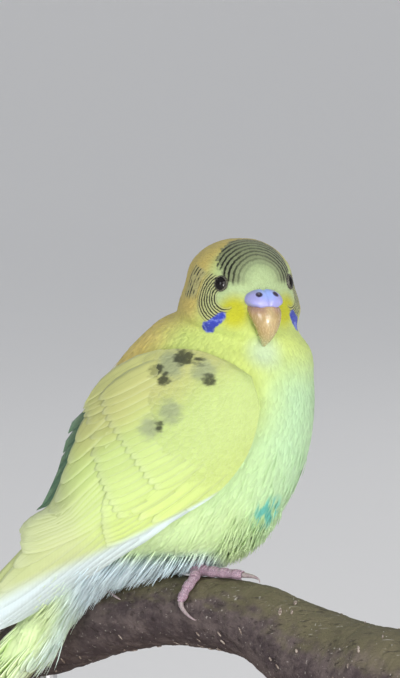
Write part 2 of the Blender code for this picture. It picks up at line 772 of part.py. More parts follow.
def make_tail(rows, material):
    """The tail: a block of coverts drawn out of the rump, twelve graduated feathers and coverts."""
    along, side, top = tail_axes()
    root = np.array([0.0, *TAIL_ROOT])
    rings = [to_frame(ring_points(smooth(rows, 0.0), -GAP))]
    for reach, half_width, half_depth in TAIL_BLOCK:
        middle = root + along * reach - top * TAIL_BLOCK_DROP
        ring = []
        for part in range(RING_SIDES):
            angle = 2 * math.pi * part / RING_SIDES
            spot = middle - top * (math.cos(angle) * half_depth)
            ring.append(place(*(spot + side * (math.sin(angle) * half_width))))
        rings.append(ring)
    tail = skin_rings("tail", rings, material)
    vanes = []
    for pair, share in enumerate(TAIL_PAIRS):
        for half in (-1, 1):
            level = TAIL_TOP - TAIL_LEVEL * (pair + TAIL_STAGGER * half)
            out = half * (1.0 + TAIL_SPREAD * pair)
            vanes.append(tail_vane(along, side, top, (TAIL_SINK, out * 0.7, level),
                                   (TAIL_LENGTH * share, out, level * 0.8),
                                   TAIL_VANE_WIDTH - 0.25 * pair, TAIL_DROOP * half))
    for out, level, length in UPPER_COVERTS + UNDER_COVERTS:
        inner = level * 0.55
        vanes.append(tail_vane(along, side, top, (TAIL_SINK, out * 0.8, inner),
                               (length, out, level), 6.4, 0.3 * (out > 0) - 0.3 * (out < 0)))
    return apply_boolean(tail, vanes, "UNION")


# The branch and the stand


def perch_axis(ahead):
    """The branch's middle at a distance ahead, and its radius."""
    table = np.array(PERCH_LINE)
    at = float(np.interp(ahead, table[:, 0], np.arange(len(table))))
    row = smooth(PERCH_LINE, at)
    return np.array([PERCH_SIDE + PERCH_SKEW * row[0], row[0], row[1]]), row[2]


def perch_frame(ahead):
    """The branch's middle, radius, direction, near side and top at a distance ahead."""
    middle, radius = perch_axis(ahead)
    along = perch_axis(min(ahead + 1.0, PERCH_LINE[-1][0]))[0]
    along = along - perch_axis(max(ahead - 1.0, PERCH_LINE[0][0]))[0]
    along /= np.linalg.norm(along)
    near = np.cross(along, [0.0, 0.0, 1.0])
    near /= np.linalg.norm(near)
    if near[0] > 0:
        near = -near
    top = np.cross(along, near)
    if top[2] < 0:
        top = -top
    return middle, radius, along, near, top


def perch_place(ahead, turn, lift):
    """A point over the bark: turn 0 is on top, and a positive one is on the bird's right."""
    middle, radius, _, near, top = perch_frame(ahead)
    return middle + (near * math.sin(turn) + top * math.cos(turn)) * (radius + lift)


def bark_lift(ahead, turn):
    """The branch's slow swellings and its one old knot."""
    slow = 0.25 * math.sin(ahead * 0.21 + 1.0) * math.cos(turn * 2 + ahead * 0.05)
    far = math.hypot(ahead - KNOT_AHEAD, 12.0 * (turn - 0.9)) / KNOT_REACH
    return slow + KNOT_HEIGHT * math.exp(-far * far * 2)


def make_perch(material):
    """The cut length of branch."""
    first, last = PERCH_LINE[0][0], PERCH_LINE[-1][0]
    rings = []
    for step in range(PERCH_STEPS + 1):
        ahead = first + (last - first) * step / PERCH_STEPS
        ring = []
        smooth_bark = PERCH_QUIET[0] < ahead < PERCH_QUIET[1]
        for side in range(PERCH_SIDES):
            turn = 2 * math.pi * side / PERCH_SIDES
            around = (turn + math.pi) % (2 * math.pi) - math.pi
            lift = 0.0 if smooth_bark else bark_lift(ahead, around)
            ring.append(place(*perch_place(ahead, turn, lift)))
        rings.append(ring)
    return skin_rings("perch", rings, material)


def make_rod(name, x, ahead, low, high, radius, material=None):
    """An upright rod."""
    rings = []
    for up in (low, high):
        ring = []
        for side in range(ROD_SIDES):
            angle = 2 * math.pi * side / ROD_SIDES
            ring.append(place(x + radius * math.cos(angle), ahead + radius * math.sin(angle), up))
        rings.append(ring)
    return skin_rings(name, rings, material)


def make_base(material):
    """The flat base, with a narrow bevel all round."""
    work = bmesh.new()
    bmesh.ops.create_cube(work, size=1.0)
    size = Vector((BASE_WIDTH, BASE_LENGTH, BASE_THICKNESS)) * MM
    bmesh.ops.scale(work, verts=work.verts, vec=size)
    bmesh.ops.translate(work, verts=work.verts, vec=(0, 0, BASE_THICKNESS / 2 * MM))
    upright = [edge for edge in work.edges if abs((edge.verts[0].co - edge.verts[1].co).z) > 1e-4]
    bmesh.ops.bevel(work, geom=upright, offset=8 * MM, segments=5, profile=0.5,
                    affect="EDGES", clamp_overlap=True)
    rim = [edge for edge in work.edges
           if all(abs(vert.co.z - BASE_THICKNESS * MM) < 1e-6 for vert in edge.verts)]
    bmesh.ops.bevel(work, geom=rim, offset=BASE_EDGE * MM, segments=2, profile=0.5,
                    affect="EDGES", clamp_overlap=True)
    mesh = bpy.data.meshes.new("stand_base")
    work.to_mesh(mesh)
    work.free()
    mesh.materials.append(material)
    item = bpy.data.objects.new("stand_base", mesh)
    bpy.context.collection.objects.link(item)
    return item


def make_stand(perch, wood, metal):
    """The base and the rods, with a blind hole for each rod in the base and in the branch."""
    base = make_base(wood)
    floor = BASE_THICKNESS - PERCH_TOP
    base_holes, perch_holes = [], []
    for name, ahead in (("stand_rod_front", FRONT_ROD_AHEAD), ("stand_rod_rear", REAR_ROD_AHEAD)):
        middle, radius = perch_axis(ahead)
        low = floor - SOCKET_DEPTH
        high = middle[2] - radius + SOCKET_DEPTH
        make_rod(name, middle[0], ahead, low, high, ROD_RADIUS, metal)
        wide = ROD_RADIUS + GAP
        base_holes.append(make_rod("hole", middle[0], ahead, low - GAP, floor + 9.0, wide))
        perch_holes.append(make_rod("hole", middle[0], ahead, high - 15.0, high + GAP, wide))
    apply_boolean(base, base_holes, "DIFFERENCE")
    apply_boolean(perch, perch_holes, "DIFFERENCE")
    return base


# The legs, feet and claws


def toe_path(foot, steps, radius, count=6):
    """Points along the middle of a toe that lies on the bark."""
    path = []
    for step in range(count):
        ahead, turn = smooth(steps, step * (len(steps) - 1) / (count - 1))
        path.append(perch_place(foot + ahead, turn, radius + TOE_REST))
    return path


def tube_rings(path, radii, sides, up_hint):
    """Rings round a path, with their first point towards up_hint."""
    rings = []
    for at, spot in enumerate(path):
        before = path[max(at - 1, 0)]
        after = path[min(at + 1, len(path) - 1)]
        along = (after - before) / np.linalg.norm(after - before)
        top = up_hint - along * np.dot(up_hint, along)
        top /= np.linalg.norm(top)
        across = np.cross(along, top)
        ring = []
        for side in range(sides):
            angle = 2 * math.pi * side / sides
            ring.append(place(*(spot + (top * math.cos(angle) + across * math.sin(angle))
                                * radii[at])))
        rings.append(ring)
    return rings


def make_leg(name, hip, foot, material, grow=0.0):
    """The short feathered leg, from inside the belly's down to the foot."""
    low = perch_place(foot, 0.05, LEG_LIFT - grow)
    high = np.array([hip, foot - LEG_SET_BACK, low[2] + LEG_HEIGHT + 2.0 * grow])
    last = len(LEG_RADII) - 1
    path = [low + (high - low) * step / last for step in range(last + 1)]
    radii = [radius + grow for radius in LEG_RADII]
    ahead = np.array([0.0, 1.0, 0.0])
    return skin_rings(name, tube_rings(path, radii, LEG_SIDES, ahead), material)


def foot_pieces(name, foot, toes, material, grow=0.0):
    """A foot's pieces: a pad on the bark and four toes that grip it, two ahead and two behind."""
    top = perch_frame(foot)[4]
    middle = place(*perch_place(foot, 0.0, PAD_LIFT))
    body = make_ball(name, middle, 1.0, material, 7, 10)
    turn = Matrix.Diagonal([half + grow for half in PAD_HALF_SIZE] + [1.0])
    body.data.transform(Matrix.Translation(middle) @ turn @ Matrix.Translation(-middle))
    parts = [body]
    for digit, (steps, _, radius) in toes.items():
        path = toe_path(foot, steps, radius)
        path[-1] = path[-1] + (path[-1] - path[-2]) / np.linalg.norm(path[-1] - path[-2]) * grow
        radii = [radius * (1.12 - 0.06 * step + 0.08 * math.cos(step * 2.5)) + grow
                 for step in range(len(path))]
        parts.append(skin_rings("toe_" + digit, tube_rings(path, radii, TOE_SIDES, top)))
    return parts


def make_foot(name, foot, toes, material):
    """A foot in one piece."""
    body, *parts = foot_pieces(name, foot, toes, material)
    return apply_boolean(body, parts, "UNION")


def make_claws(side_name, foot, toes, material, grow=0.0):
    """A curved claw in front of each toe, which arches off the bark and comes down on it."""
    claws = []
    for digit, (steps, tip, radius) in toes.items():
        path = toe_path(foot, steps, radius)
        along = (path[-1] - path[-2]) / np.linalg.norm(path[-1] - path[-2])
        start = path[-1] + along * (GAP + 0.05 - grow)
        end = perch_place(foot + tip[0], tip[1], TOE_REST)
        near = perch_frame(foot + tip[0])
        out = near[3] * math.sin(tip[1]) + near[4] * math.cos(tip[1])
        turns = (start + along * 1.8, end + out * CLAW_ARCH)
        points = []
        radii = []
        for t in (0.0, 0.08, 0.3, 0.55, 0.8, 1.0):
            u = 1.0 - t
            points.append(start * u ** 3 + turns[0] * (3 * u * u * t) + turns[1] * (3 * u * t * t)
                          + end * t ** 3)
            radii.append(CLAW_RADIUS * (1.0 - CLAW_TAPER * t) + grow)
        rings = tube_rings(points, radii, CLAW_SIDES, out)
        claws.append(skin_rings(f"claw_{side_name}_{digit}", rings, material))
    return claws


def main():
    """Builds the whole model."""
    clear_scene()
    finishes = {name: finish_material(name, *values) for name, values in FINISHES.items()}
    plumage = finishes["body_plumage"]
    horn = finishes["bill_horn"]

    rows = body_rows()
    torso = make_torso(rows, plumage)
    neck = make_neck(rows, plumage)
    head = make_head(rows, plumage)
    apply_boolean(head, [make_lid(rows, -1), make_lid(rows, 1)], "UNION")

    cutters = [make_upper_bill("cut", grow=GAP), make_lower_bill("cut", grow=GAP),
               make_cere("cut", grow=GAP)]
    for side, name in ((-1, "eye_right"), (1, "eye_left")):
        middle, _, _ = eye_frame(rows, side)
        make_ball(name, middle, EYE_RADIUS, finishes["eye_black"])
        cutters.append(make_ball("cut", middle, EYE_RADIUS + GAP))
    apply_boolean(head, cutters, "DIFFERENCE")
    cutters = [make_upper_bill("cut", grow=GAP), make_lower_bill("cut", grow=GAP)]
    apply_boolean(neck, cutters, "DIFFERENCE")

    make_upper_bill("bill_upper", horn)
    lower = make_lower_bill("bill_lower", horn)
    apply_boolean(lower, [make_upper_bill("cut", grow=GAP)], "DIFFERENCE")
    cere = make_cere("cere", finishes["cere_skin"])
    cutters = [make_upper_bill("cut", grow=GAP)]
    for side in (-1, 1):
        middle = place(*head_place(NOSTRIL[0], NOSTRIL[1] * side, NOSTRIL[2]))
        cutters.append(make_ball("cut", middle, NOSTRIL_RADIUS, None, 6, 8))
    apply_boolean(cere, cutters, "DIFFERENCE")

    lie = wing_rows()
    make_wing(lie, "wing_right", -1, finishes["wing_plumage"])
    make_wing(lie, "wing_left", 1, finishes["wing_plumage"])
    make_tail(rows, finishes["wing_plumage"])

    perch = make_perch(finishes["bark"])
    make_stand(perch, finishes["stand_wood"], finishes["stand_metal"])

    for name, hip, foot, toes in (("right", RIGHT_HIP, RIGHT_FOOT, RIGHT_TOES),
                                  ("left", LEFT_HIP, LEFT_FOOT, LEFT_TOES)):
        make_leg("leg_" + name, hip, foot, plumage)
        make_foot("foot_" + name, foot, toes, finishes["bare_skin"])
        make_claws(name, foot, toes, horn)
        cutters = [make_leg("cut", hip, foot, None, GAP)]
        if name == "left":
            # Only this foot is drawn up into the feathers of the belly.
            cutters += foot_pieces("cut", foot, toes, None, GAP)
            cutters += make_claws("cut", foot, toes, None, GAP)
        apply_boolean(torso, cutters, "DIFFERENCE")

    for item in bpy.context.scene.objects:
        round_shade(item)


main()
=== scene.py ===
"""Looks of a life-size budgerigar on a cut branch: skin, feathers, bill, eyes, feet, bark and stand.

Places are in millimetres in the bird's own terms, as (x, ahead, up): x runs to its left, ahead the
way its breast points, and up from the top of the branch under its right foot. world() turns them
into the frame. Head places are (forward, side, up) in the frame of the turned head.
"""

import logging
import math
from dataclasses import dataclass, field
from enum import Enum

import bmesh
import bpy
import numpy as np
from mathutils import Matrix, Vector, noise
from mathutils.bvhtree import BVHTree
from mathutils.kdtree import KDTree

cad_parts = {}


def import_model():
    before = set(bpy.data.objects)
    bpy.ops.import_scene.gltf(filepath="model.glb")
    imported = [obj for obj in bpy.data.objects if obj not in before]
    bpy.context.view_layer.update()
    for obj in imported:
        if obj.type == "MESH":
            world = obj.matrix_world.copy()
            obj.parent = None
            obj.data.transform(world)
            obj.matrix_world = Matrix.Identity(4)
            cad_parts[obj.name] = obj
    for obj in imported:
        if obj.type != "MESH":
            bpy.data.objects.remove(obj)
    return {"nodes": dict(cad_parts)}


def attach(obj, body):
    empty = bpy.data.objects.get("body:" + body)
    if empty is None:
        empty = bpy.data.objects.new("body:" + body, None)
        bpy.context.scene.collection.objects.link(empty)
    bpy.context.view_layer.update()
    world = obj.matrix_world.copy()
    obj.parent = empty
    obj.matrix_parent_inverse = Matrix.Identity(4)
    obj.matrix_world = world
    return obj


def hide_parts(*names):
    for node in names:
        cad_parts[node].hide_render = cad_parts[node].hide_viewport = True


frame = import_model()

LOG = logging.getLogger("budgerigar")
MM = 0.001
BASE_AHEAD = -5.0
PERCH_TOP = 78.0
SEED = 7
MAP = "OFBake"
LAY = "Lay"
PATCH = 0.003
BODY = "root"

Array = np.ndarray
Colour = tuple[float, float, float]


class Side(Enum):
    """The bird's two sides, with the sign of x there."""

    RIGHT = -1
    LEFT = 1


# Places and curves


def world(places: Array) -> Array:
    """Metres in the frame.

    Args:
        places: (..., 3) array of (x, ahead, up) in millimetres.

    Returns:
        The same places in the frame.
    """
    places = np.asarray(places, float)
    flipped = np.stack([places[..., 0], BASE_AHEAD - places[..., 1], places[..., 2] + PERCH_TOP], -1)
    return flipped * MM


def from_world(points: Array) -> Array:
    """Places in millimetres for points of the frame."""
    points = np.asarray(points, float) / MM
    return np.stack([points[..., 0], BASE_AHEAD - points[..., 1], points[..., 2] - PERCH_TOP], -1)


def unit(vectors: Array) -> Array:
    """Vectors of length one."""
    return vectors / np.maximum(np.linalg.norm(vectors, axis=-1, keepdims=True), 1e-9)


def ease(low: float, high: float, value: Array) -> Array:
    """A smooth step from 0 at low to 1 at high, which may be the lower of the two."""
    t = np.clip((np.asarray(value, float) - low) / (high - low), 0.0, 1.0)
    return t * t * (3.0 - 2.0 * t)


def curve(table: Array, at: Array) -> Array:
    """A Catmull-Rom curve through rows of numbers.

    Args:
        table: (R, K) rows.
        at: places along it, counted in rows.

    Returns:
        One row of K numbers for each place.
    """
    table = np.asarray(table, float)
    at = np.clip(np.asarray(at, float), 0.0, len(table) - 1.0)
    padded = np.vstack([2 * table[0] - table[1], table, 2 * table[-1] - table[-2]])
    low = np.minimum(at.astype(int), len(table) - 2)
    t = (at - low)[..., None]
    p0, p1, p2, p3 = (padded[low + step] for step in range(4))
    return 0.5 * (
        2 * p1
        + (p2 - p0) * t
        + (2 * p0 - 5 * p1 + 4 * p2 - p3) * t * t
        + (3 * p1 - 3 * p2 + p3 - p0) * t ** 3
    )


def inside(outline: Array, spots: Array) -> Array:
    """Which 2-D spots lie inside a closed outline."""
    found = np.zeros(len(spots), bool)
    a, u = spots[:, 0], spots[:, 1]
    for (a1, u1), (a2, u2) in zip(outline, np.roll(outline, -1, axis=0)):
        crosses = (u1 > u) != (u2 > u)
        reach = a1 + (u - u1) * (a2 - a1) / (u2 - u1 if u2 != u1 else 1e-9)
        found ^= crosses & (a < reach)
    return found


# Meshes


class Shape:
    """Points and faces gathered for one piece, in the bird's millimetres."""

    def __init__(self, softness: float = 0.0) -> None:
        """Starts empty.

        Args:
            softness: how far the feathers are shaded as the ground under them.
        """
        self.softness = softness
        self.outs: list[Array] = []
        self.points: list[Array] = []
        self.lays: list[Array] = []
        self.faces: list[Array] = []
        self.maps: list[Array] = []
        self.count = 0

    def add(self, points: Array, faces: list[Array], maps: list[Array] | None = None,
            lay: Array | None = None, outs: Array | None = None) -> None:
        """Adds points and the faces between them.

        Args:
            points: (N, 3) places.
            faces: arrays of shape (F, corners), each counted from the first of these points.
            maps: for each array of faces, its (F, corners, 2) places on the baking map.
            lay: (N, 3) of across, along and tone on a feather.
            outs: (N, 3) ways out of the ground under a feather.
        """
        points = np.asarray(points, float).reshape(-1, 3)
        self.outs.append(np.zeros((len(points), 3)) if outs is None else outs.reshape(-1, 3))
        self.points.append(points)
        self.lays.append(np.zeros((len(points), 3)) if lay is None else lay.reshape(-1, 3))
        for number, corners in enumerate(faces):
            corners = np.asarray(corners, np.int64)
            self.faces.append(corners + self.count)
            self.maps.append(np.zeros((*corners.shape, 2)) if maps is None else maps[number])
        self.count += len(points)

    def grid(self, places: Array, closed: bool = False, caps: bool = False) -> None:
        """Adds a (rows, columns, 3) grid of places as quads, closed round its columns if asked."""
        rows, columns = places.shape[:2]
        index = np.arange(rows * columns).reshape(rows, columns)
        after = np.roll(index, -1, axis=1) if closed else index[:, 1:]
        before = index if closed else index[:, :-1]
        quads = np.stack([before[:-1], after[:-1], after[1:], before[1:]], -1).reshape(-1, 4)
        faces = [quads]
        if caps:
            faces += [index[0][None, ::-1], index[-1][None]]
        self.add(places.reshape(-1, 3), faces)

    def mesh(self, name: str, mapped: bool = False) -> bpy.types.Mesh:
        """One mesh in the frame, with its faces pointing outwards."""
        places = np.vstack(self.points)
        points = world(places)
        volume = 0.0
        for corners in self.faces:
            a = points[corners[:, 0]]
            for step in range(1, corners.shape[1] - 1):
                b, c = points[corners[:, step]], points[corners[:, step + 1]]
                volume += float(np.einsum("ij,ij->", a, np.cross(b, c)))
        turn = -1 if volume < 0 else 1
        loops = np.concatenate([corners[:, ::turn].ravel() for corners in self.faces])
        sizes = np.concatenate([np.full(len(corners), corners.shape[1]) for corners in self.faces])
        mesh = bpy.data.meshes.new(name)
        mesh.vertices.add(len(points))
        mesh.vertices.foreach_set("co", points.astype(np.float32).ravel())
        mesh.loops.add(len(loops))
        mesh.loops.foreach_set("vertex_index", loops.astype(np.int32))
        mesh.polygons.add(len(sizes))
        starts = np.concatenate([[0], np.cumsum(sizes)[:-1]])
        mesh.polygons.foreach_set("loop_start", starts.astype(np.int32))
        if mapped:
            spots = np.concatenate([part[:, ::turn].reshape(-1, 2) for part in self.maps])
            layer = mesh.uv_layers.new(name=MAP)
            layer.data.foreach_set("uv", np.clip(spots, 0.0, 1.0).astype(np.float32).ravel())
        lay = mesh.attributes.new(LAY, "FLOAT_VECTOR", "POINT")
        lay.data.foreach_set("vector", np.vstack(self.lays).astype(np.float32).ravel())
        mesh.update(calc_edges=True)
        mesh.validate()
        mesh.shade_smooth()
        if self.softness:
            self.soften(mesh)
        return mesh

    def soften(self, mesh: bpy.types.Mesh) -> None:
        """Turns the shading of the outer faces towards the ground under them."""
        outs = unit(world(np.vstack(self.outs)) - world(np.zeros(3)))
        corners = np.empty(len(mesh.loops), np.int32)
        mesh.loops.foreach_get("vertex_index", corners)
        sizes = np.empty(len(mesh.polygons), np.int32)
        mesh.polygons.foreach_get("loop_total", sizes)
        flat = np.empty(len(mesh.polygons) * 3, np.float32)
        mesh.polygon_normals.foreach_get("vector", flat)
        own = np.empty(len(corners) * 3, np.float32)
        mesh.corner_normals.foreach_get("vector", own)
        out = outs[corners]
        level = (np.repeat(flat.reshape(-1, 3), sizes, axis=0) * out).sum(1)
        share = self.softness * ease(0.3, 0.75, level)[:, None]
        mesh.normals_split_custom_set(unit(own.reshape(-1, 3) * (1.0 - share) + out * share))

    def piece(self, name: str, mapped: bool = False) -> bpy.types.Object:
        """One object, at the origin."""
        return link(name, self.mesh(name, mapped))


def link(name: str, mesh: bpy.types.Mesh) -> bpy.types.Object:
    """A new object in the scene that holds a mesh."""
    item = bpy.data.objects.new(name, mesh)
    bpy.context.scene.collection.objects.link(item)
    return item


def applied(item: bpy.types.Object) -> bpy.types.Object:
    """Turns an object's modifiers into its plain mesh."""
    graph = bpy.context.evaluated_depsgraph_get()
    mesh = bpy.data.meshes.new_from_object(item.evaluated_get(graph))
    item.modifiers.clear()
    old = item.data
    item.data = mesh
    bpy.data.meshes.remove(old)
    mesh.name = item.name
    mesh.shade_smooth()
    return item


def dress(item: bpy.types.Object, material: bpy.types.Material, slot: str,
          *nodes: str) -> bpy.types.Object:
    """Gives a finished piece its material and its body, and hides the nodes that it stands for."""
    item.data.materials.clear()
    item.data.materials.append(material)
    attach(item, BODY)
    if nodes:
        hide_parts(*nodes)
    LOG.info("%s: %d faces", item.name, len(item.data.polygons))
    return item


class Ground:
    """A surface that feathers lie on: it tells the nearest place and the way out of it."""

    def __init__(self, points: Array, triangles: Array, outward: Array | None = None) -> None:
        """Keeps a triangle mesh.

        Args:
            points: (N, 3) places.
            triangles: (F, 3) corners.
            outward: a direction that the normals roughly follow, or None on a closed surface.
        """
        self.points = points
        self.triangles = triangles
        a, b, c = (points[triangles[:, corner]] for corner in range(3))
        faces = np.cross(b - a, c - a)
        sign = np.einsum("ij,ij->", a - points.mean(0), faces)
        if outward is not None:
            sign = (faces @ np.asarray(outward, float)).sum()
        faces *= 1.0 if sign > 0 else -1.0
        normals = np.zeros_like(points)
        for corner in range(3):
            np.add.at(normals, triangles[:, corner], faces)
        self.normals = unit(normals)
        self.areas = np.linalg.norm(faces, axis=1) / 2
        self.tree = BVHTree.FromPolygons(points.tolist(), triangles.tolist())

    def snap(self, places: Array) -> tuple[Array, Array]:
        """The nearest places on the surface, and the ways out there."""
        flat = places.reshape(-1, 3)
        spots = np.empty_like(flat)
        index = np.empty(len(flat), int)
        find = self.tree.find_nearest
        for number, place in enumerate(flat.tolist()):
            spot, _, at, _ = find(place)
            spots[number] = spot
            index[number] = at
        corners = self.triangles[index]
        a, b, c = (self.points[corners[:, corner]] for corner in range(3))
        whole = np.cross(b - a, c - a)
        size = np.maximum(np.einsum("ij,ij->i", whole, whole), 1e-12)
        shares = np.stack([
            np.einsum("ij,ij->i", np.cross(c - b, spots - b), whole) / size,
            np.einsum("ij,ij->i", np.cross(a - c, spots - c), whole) / size,
            np.einsum("ij,ij->i", np.cross(b - a, spots - a), whole) / size,
        ], -1)
        normals = unit((self.normals[corners] * shares[..., None]).sum(1))
        return spots.reshape(places.shape), normals.reshape(places.shape)

    def scatter(self, number: int, weight: Array, seed: int) -> Array:
        """Random places, with a weight for each triangle beside its area."""
        random = np.random.default_rng(seed)
        odds = self.areas * weight
        chosen = random.choice(len(odds), number, p=odds / odds.sum())
        u, v = random.random((2, number, 1))
        over = u + v > 1
        u, v = np.where(over, 1 - u, u), np.where(over, 1 - v, v)
        a, b, c = (self.points[self.triangles[chosen, corner]] for corner in range(3))
        return a + (b - a) * u + (c - a) * v


def spaced(places: Array, reach: Array) -> Array:
    """The numbers of those places that keep their reach from every earlier one."""
    tree = KDTree(len(places))
    for number, place in enumerate(places.tolist()):
        tree.insert(place, number)
    tree.balance()
    free = np.ones(len(places), bool)
    kept = []
    for number, place in enumerate(places.tolist()):
        if free[number]:
            kept.append(number)
            for _, other, _ in tree.find_range(place, float(reach[number])):
                free[other] = False
    return np.array(kept)


# Feathers


@dataclass(frozen=True)
class Vane:
    """The outline and section of one kind of feather."""

    along: tuple[float, ...]
    widths: tuple[float, ...]
    across: tuple[float, ...] = (-1.0, 0.0, 1.0)
    thickness: float = 0.08
    camber: float = 0.12
    ridge: float = 0.0
    rise: float = 0.8

    def heights(self, half: Array, low: Array, high: Array, roll: Array) -> tuple[Array, Array]:
        """Heights of the upper face and thickness, for every feather, station and place across.

        Args:
            half: (N, S) half widths.
            low: (N,) height over the ground at the root.
            high: (N,) height at the tip.
            roll: (N,) how far one edge stands higher than the other, for each millimetre across.
        """
        t = np.array(self.along)[None, :, None]
        x = np.array(self.across)[None, None, :]
        base = low[:, None, None] + (high - low)[:, None, None] * t ** self.rise
        bulge = self.camber * half[..., None] * (1 - x * x)
        shaft = self.ridge * np.exp(-((x / 0.12) ** 2)) * (1 - 0.7 * t)
        thick = np.broadcast_to(self.thickness * (1 - np.abs(x) ** 3), bulge.shape)
        return base + bulge + shaft + roll[:, None, None] * half[..., None] * x, thick

    def sweep(self, shape: Shape, base: Array, out: Array, top: Array, thick: Array, tone: Array,
              patches: Array, size: Array) -> None:
        """Adds closed feathers to a shape.

        Args:
            shape: gathers them.
            base: (N, S, C, 3) places on the ground.
            out: (N, S, C, 3) ways out of it.
            top: (N, S, C) heights of the upper face.
            thick: (N, S, C) thicknesses.
            tone: (N,) a random number for each.
            patches: (N, 2) middles of their patches on the baking map.
            size: (2,) width and length of a patch.
        """
        number, stations, places = top.shape
        upper = base + out * top[..., None]
        lower = (base + out * (top - thick)[..., None])[:, :, -2:0:-1]
        rings = np.concatenate([upper, lower], axis=2)
        sides = rings.shape[2]
        index = np.arange(number * stations * sides).reshape(number, stations, sides)
        after = np.roll(index, -1, axis=2)
        quads = np.stack([index[:, :-1], after[:, :-1], after[:, 1:], index[:, 1:]], -1)
        x = np.arange(sides + 1) / sides - 0.5
        y = np.linspace(-0.5, 0.32, stations)
        spots = np.empty((stations - 1, sides, 4, 2))
        spots[..., 0] = np.stack([x[:-1], x[1:], x[1:], x[:-1]], -1)[None]
        spots[..., 1] = np.stack([y[:-1], y[:-1], y[1:], y[1:]], -1)[:, None]
        turns = np.arange(sides) / sides * 2 * math.pi
        disc = np.stack([np.cos(turns), np.sin(turns)], -1) * 0.07
        maps = [patches[:, None, None, None] + spots[None] * size]
        maps += [patches[:, None] + (disc + [shift, 0.42]) * size for shift in (-0.2, 0.2)]
        lay = np.zeros((number, stations, sides, 3))
        around = list(self.across) + list(self.across[-2:0:-1])
        lay[..., 0] = np.array(around)
        lay[..., 1] = np.array(self.along)[None, :, None]
        lay[..., 2] = tone[:, None, None]
        outs = np.concatenate([out, out[:, :, -2:0:-1]], axis=2)
        whole = np.broadcast_to(maps[0], (*quads.shape, 2))
        half = len(self.across) - 1
        faces, spots = [], []
        for columns, corners in ((slice(0, half), (0, 1, 2, 0, 2, 3)), (slice(half, None), (0, 1, 3, 1, 2, 3))):
            faces.append(quads[:, :, columns][..., list(corners)].reshape(-1, 3))
            spots.append(whole[:, :, columns][..., list(corners), :].reshape(-1, 3, 2))
        shape.add(rings, [*faces, index[:, 0, ::-1], index[:, -1]],
                  [*spots, maps[1][:, ::-1], maps[2]], lay, outs)

    def lie(self, shape: Shape, ground: Ground, roots: Array, heads: Array, lengths: Array,
            widths: Array, low: Array, high: Array, roll: Array, tone: Array, patches: Array,
            size: Array, bend: Array | None = None) -> None:
        """Lays feathers on a surface, each from its root along its heading."""
        centre, normal = ground.snap(roots)
        flow = unit(heads - normal * (heads * normal).sum(-1, keepdims=True))
        rows_base, rows_out = [], []
        before = 0.0
        half = widths[:, None] / 2 * np.array(self.widths)[None]
        for station, t in enumerate(self.along):
            if station:
                centre, normal = ground.snap(centre + flow * ((t - before) * lengths)[:, None])
                if bend is not None:
                    flow = flow + np.cross(normal, flow) * (bend * (t - before))[:, None]
                flow = unit(flow - normal * (flow * normal).sum(-1, keepdims=True))
            side = np.cross(normal, flow)
            spots, outs = [], []
            for x in self.across:
                if x == 0.0:
                    spots.append(centre)
                    outs.append(normal)
                else:
                    spot, out = ground.snap(centre + side * (half[:, station] * x)[:, None])
                    spots.append(spot)
                    outs.append(out)
            rows_base.append(np.stack(spots, 1))
            rows_out.append(np.stack(outs, 1))
            before = t
        top, thick = self.heights(half, low, high, roll)
        self.sweep(shape, np.stack(rows_base, 1), np.stack(rows_out, 1), top, thick, tone, patches,
                   size)


FACE_VANE = Vane((0.0, 0.35, 0.75, 1.0), (0.5, 1.0, 0.78, 0.2), thickness=0.04, camber=0.04,
                 rise=0.35)
BODY_VANE = Vane((0.0, 0.22, 0.5, 0.76, 0.92, 1.0), (0.45, 0.85, 1.0, 0.8, 0.42, 0.07),
                 thickness=0.05, camber=0.04, rise=0.35)
WISP = Vane((0.0, 0.35, 0.7, 1.0), (0.8, 1.0, 0.7, 0.08), thickness=0.07, camber=0.2, rise=0.5)
COVERT_VANE = Vane((0.0, 0.25, 0.5, 0.7, 0.85, 0.95, 1.0), (0.55, 0.9, 1.0, 0.92, 0.7, 0.38, 0.1),
                   (-1.0, -0.5, 0.0, 0.5, 1.0), thickness=0.08, camber=0.02, ridge=0.03)
FLIGHT_VANE = Vane((0.0, 0.1, 0.2, 0.3, 0.4, 0.5, 0.6, 0.7, 0.8, 0.87, 0.93, 0.97, 1.0),
                   (0.45, 0.66, 0.8, 0.9, 0.96, 1.0, 1.0, 0.98, 0.9, 0.78, 0.6, 0.42, 0.16),
                   (-1.0, -0.6, -0.25, 0.0, 0.25, 0.6, 1.0), thickness=0.1, camber=0.02, ridge=0.07)


def feather_cells(number: int, first: int, whole: int) -> tuple[Array, Array]:
    """Middles and size of the patches for a run of large feathers, side by side on the map."""
    columns = math.ceil(math.sqrt(whole))
    cell = 1.0 / columns
    at = np.arange(first, first + number)
    middles = np.stack([(at % columns + 0.5) * cell, (at // columns + 0.5) * cell], -1)
    return middles, np.array([cell, cell]) * 0.94


# The bird's body


def frames(rows: Array) -> tuple[Array, Array, Array, Array]:
    """Middle, forward, side and upward direction of each section."""
    yaw, tilt = rows[..., 3], rows[..., 4]
    forward = np.stack([-np.sin(yaw) * np.cos(tilt), np.cos(yaw) * np.cos(tilt), -np.sin(tilt)], -1)
    side = np.stack([np.cos(yaw), np.sin(yaw), np.zeros_like(yaw)], -1)
    return rows[..., :3], forward, side, np.cross(side, forward)


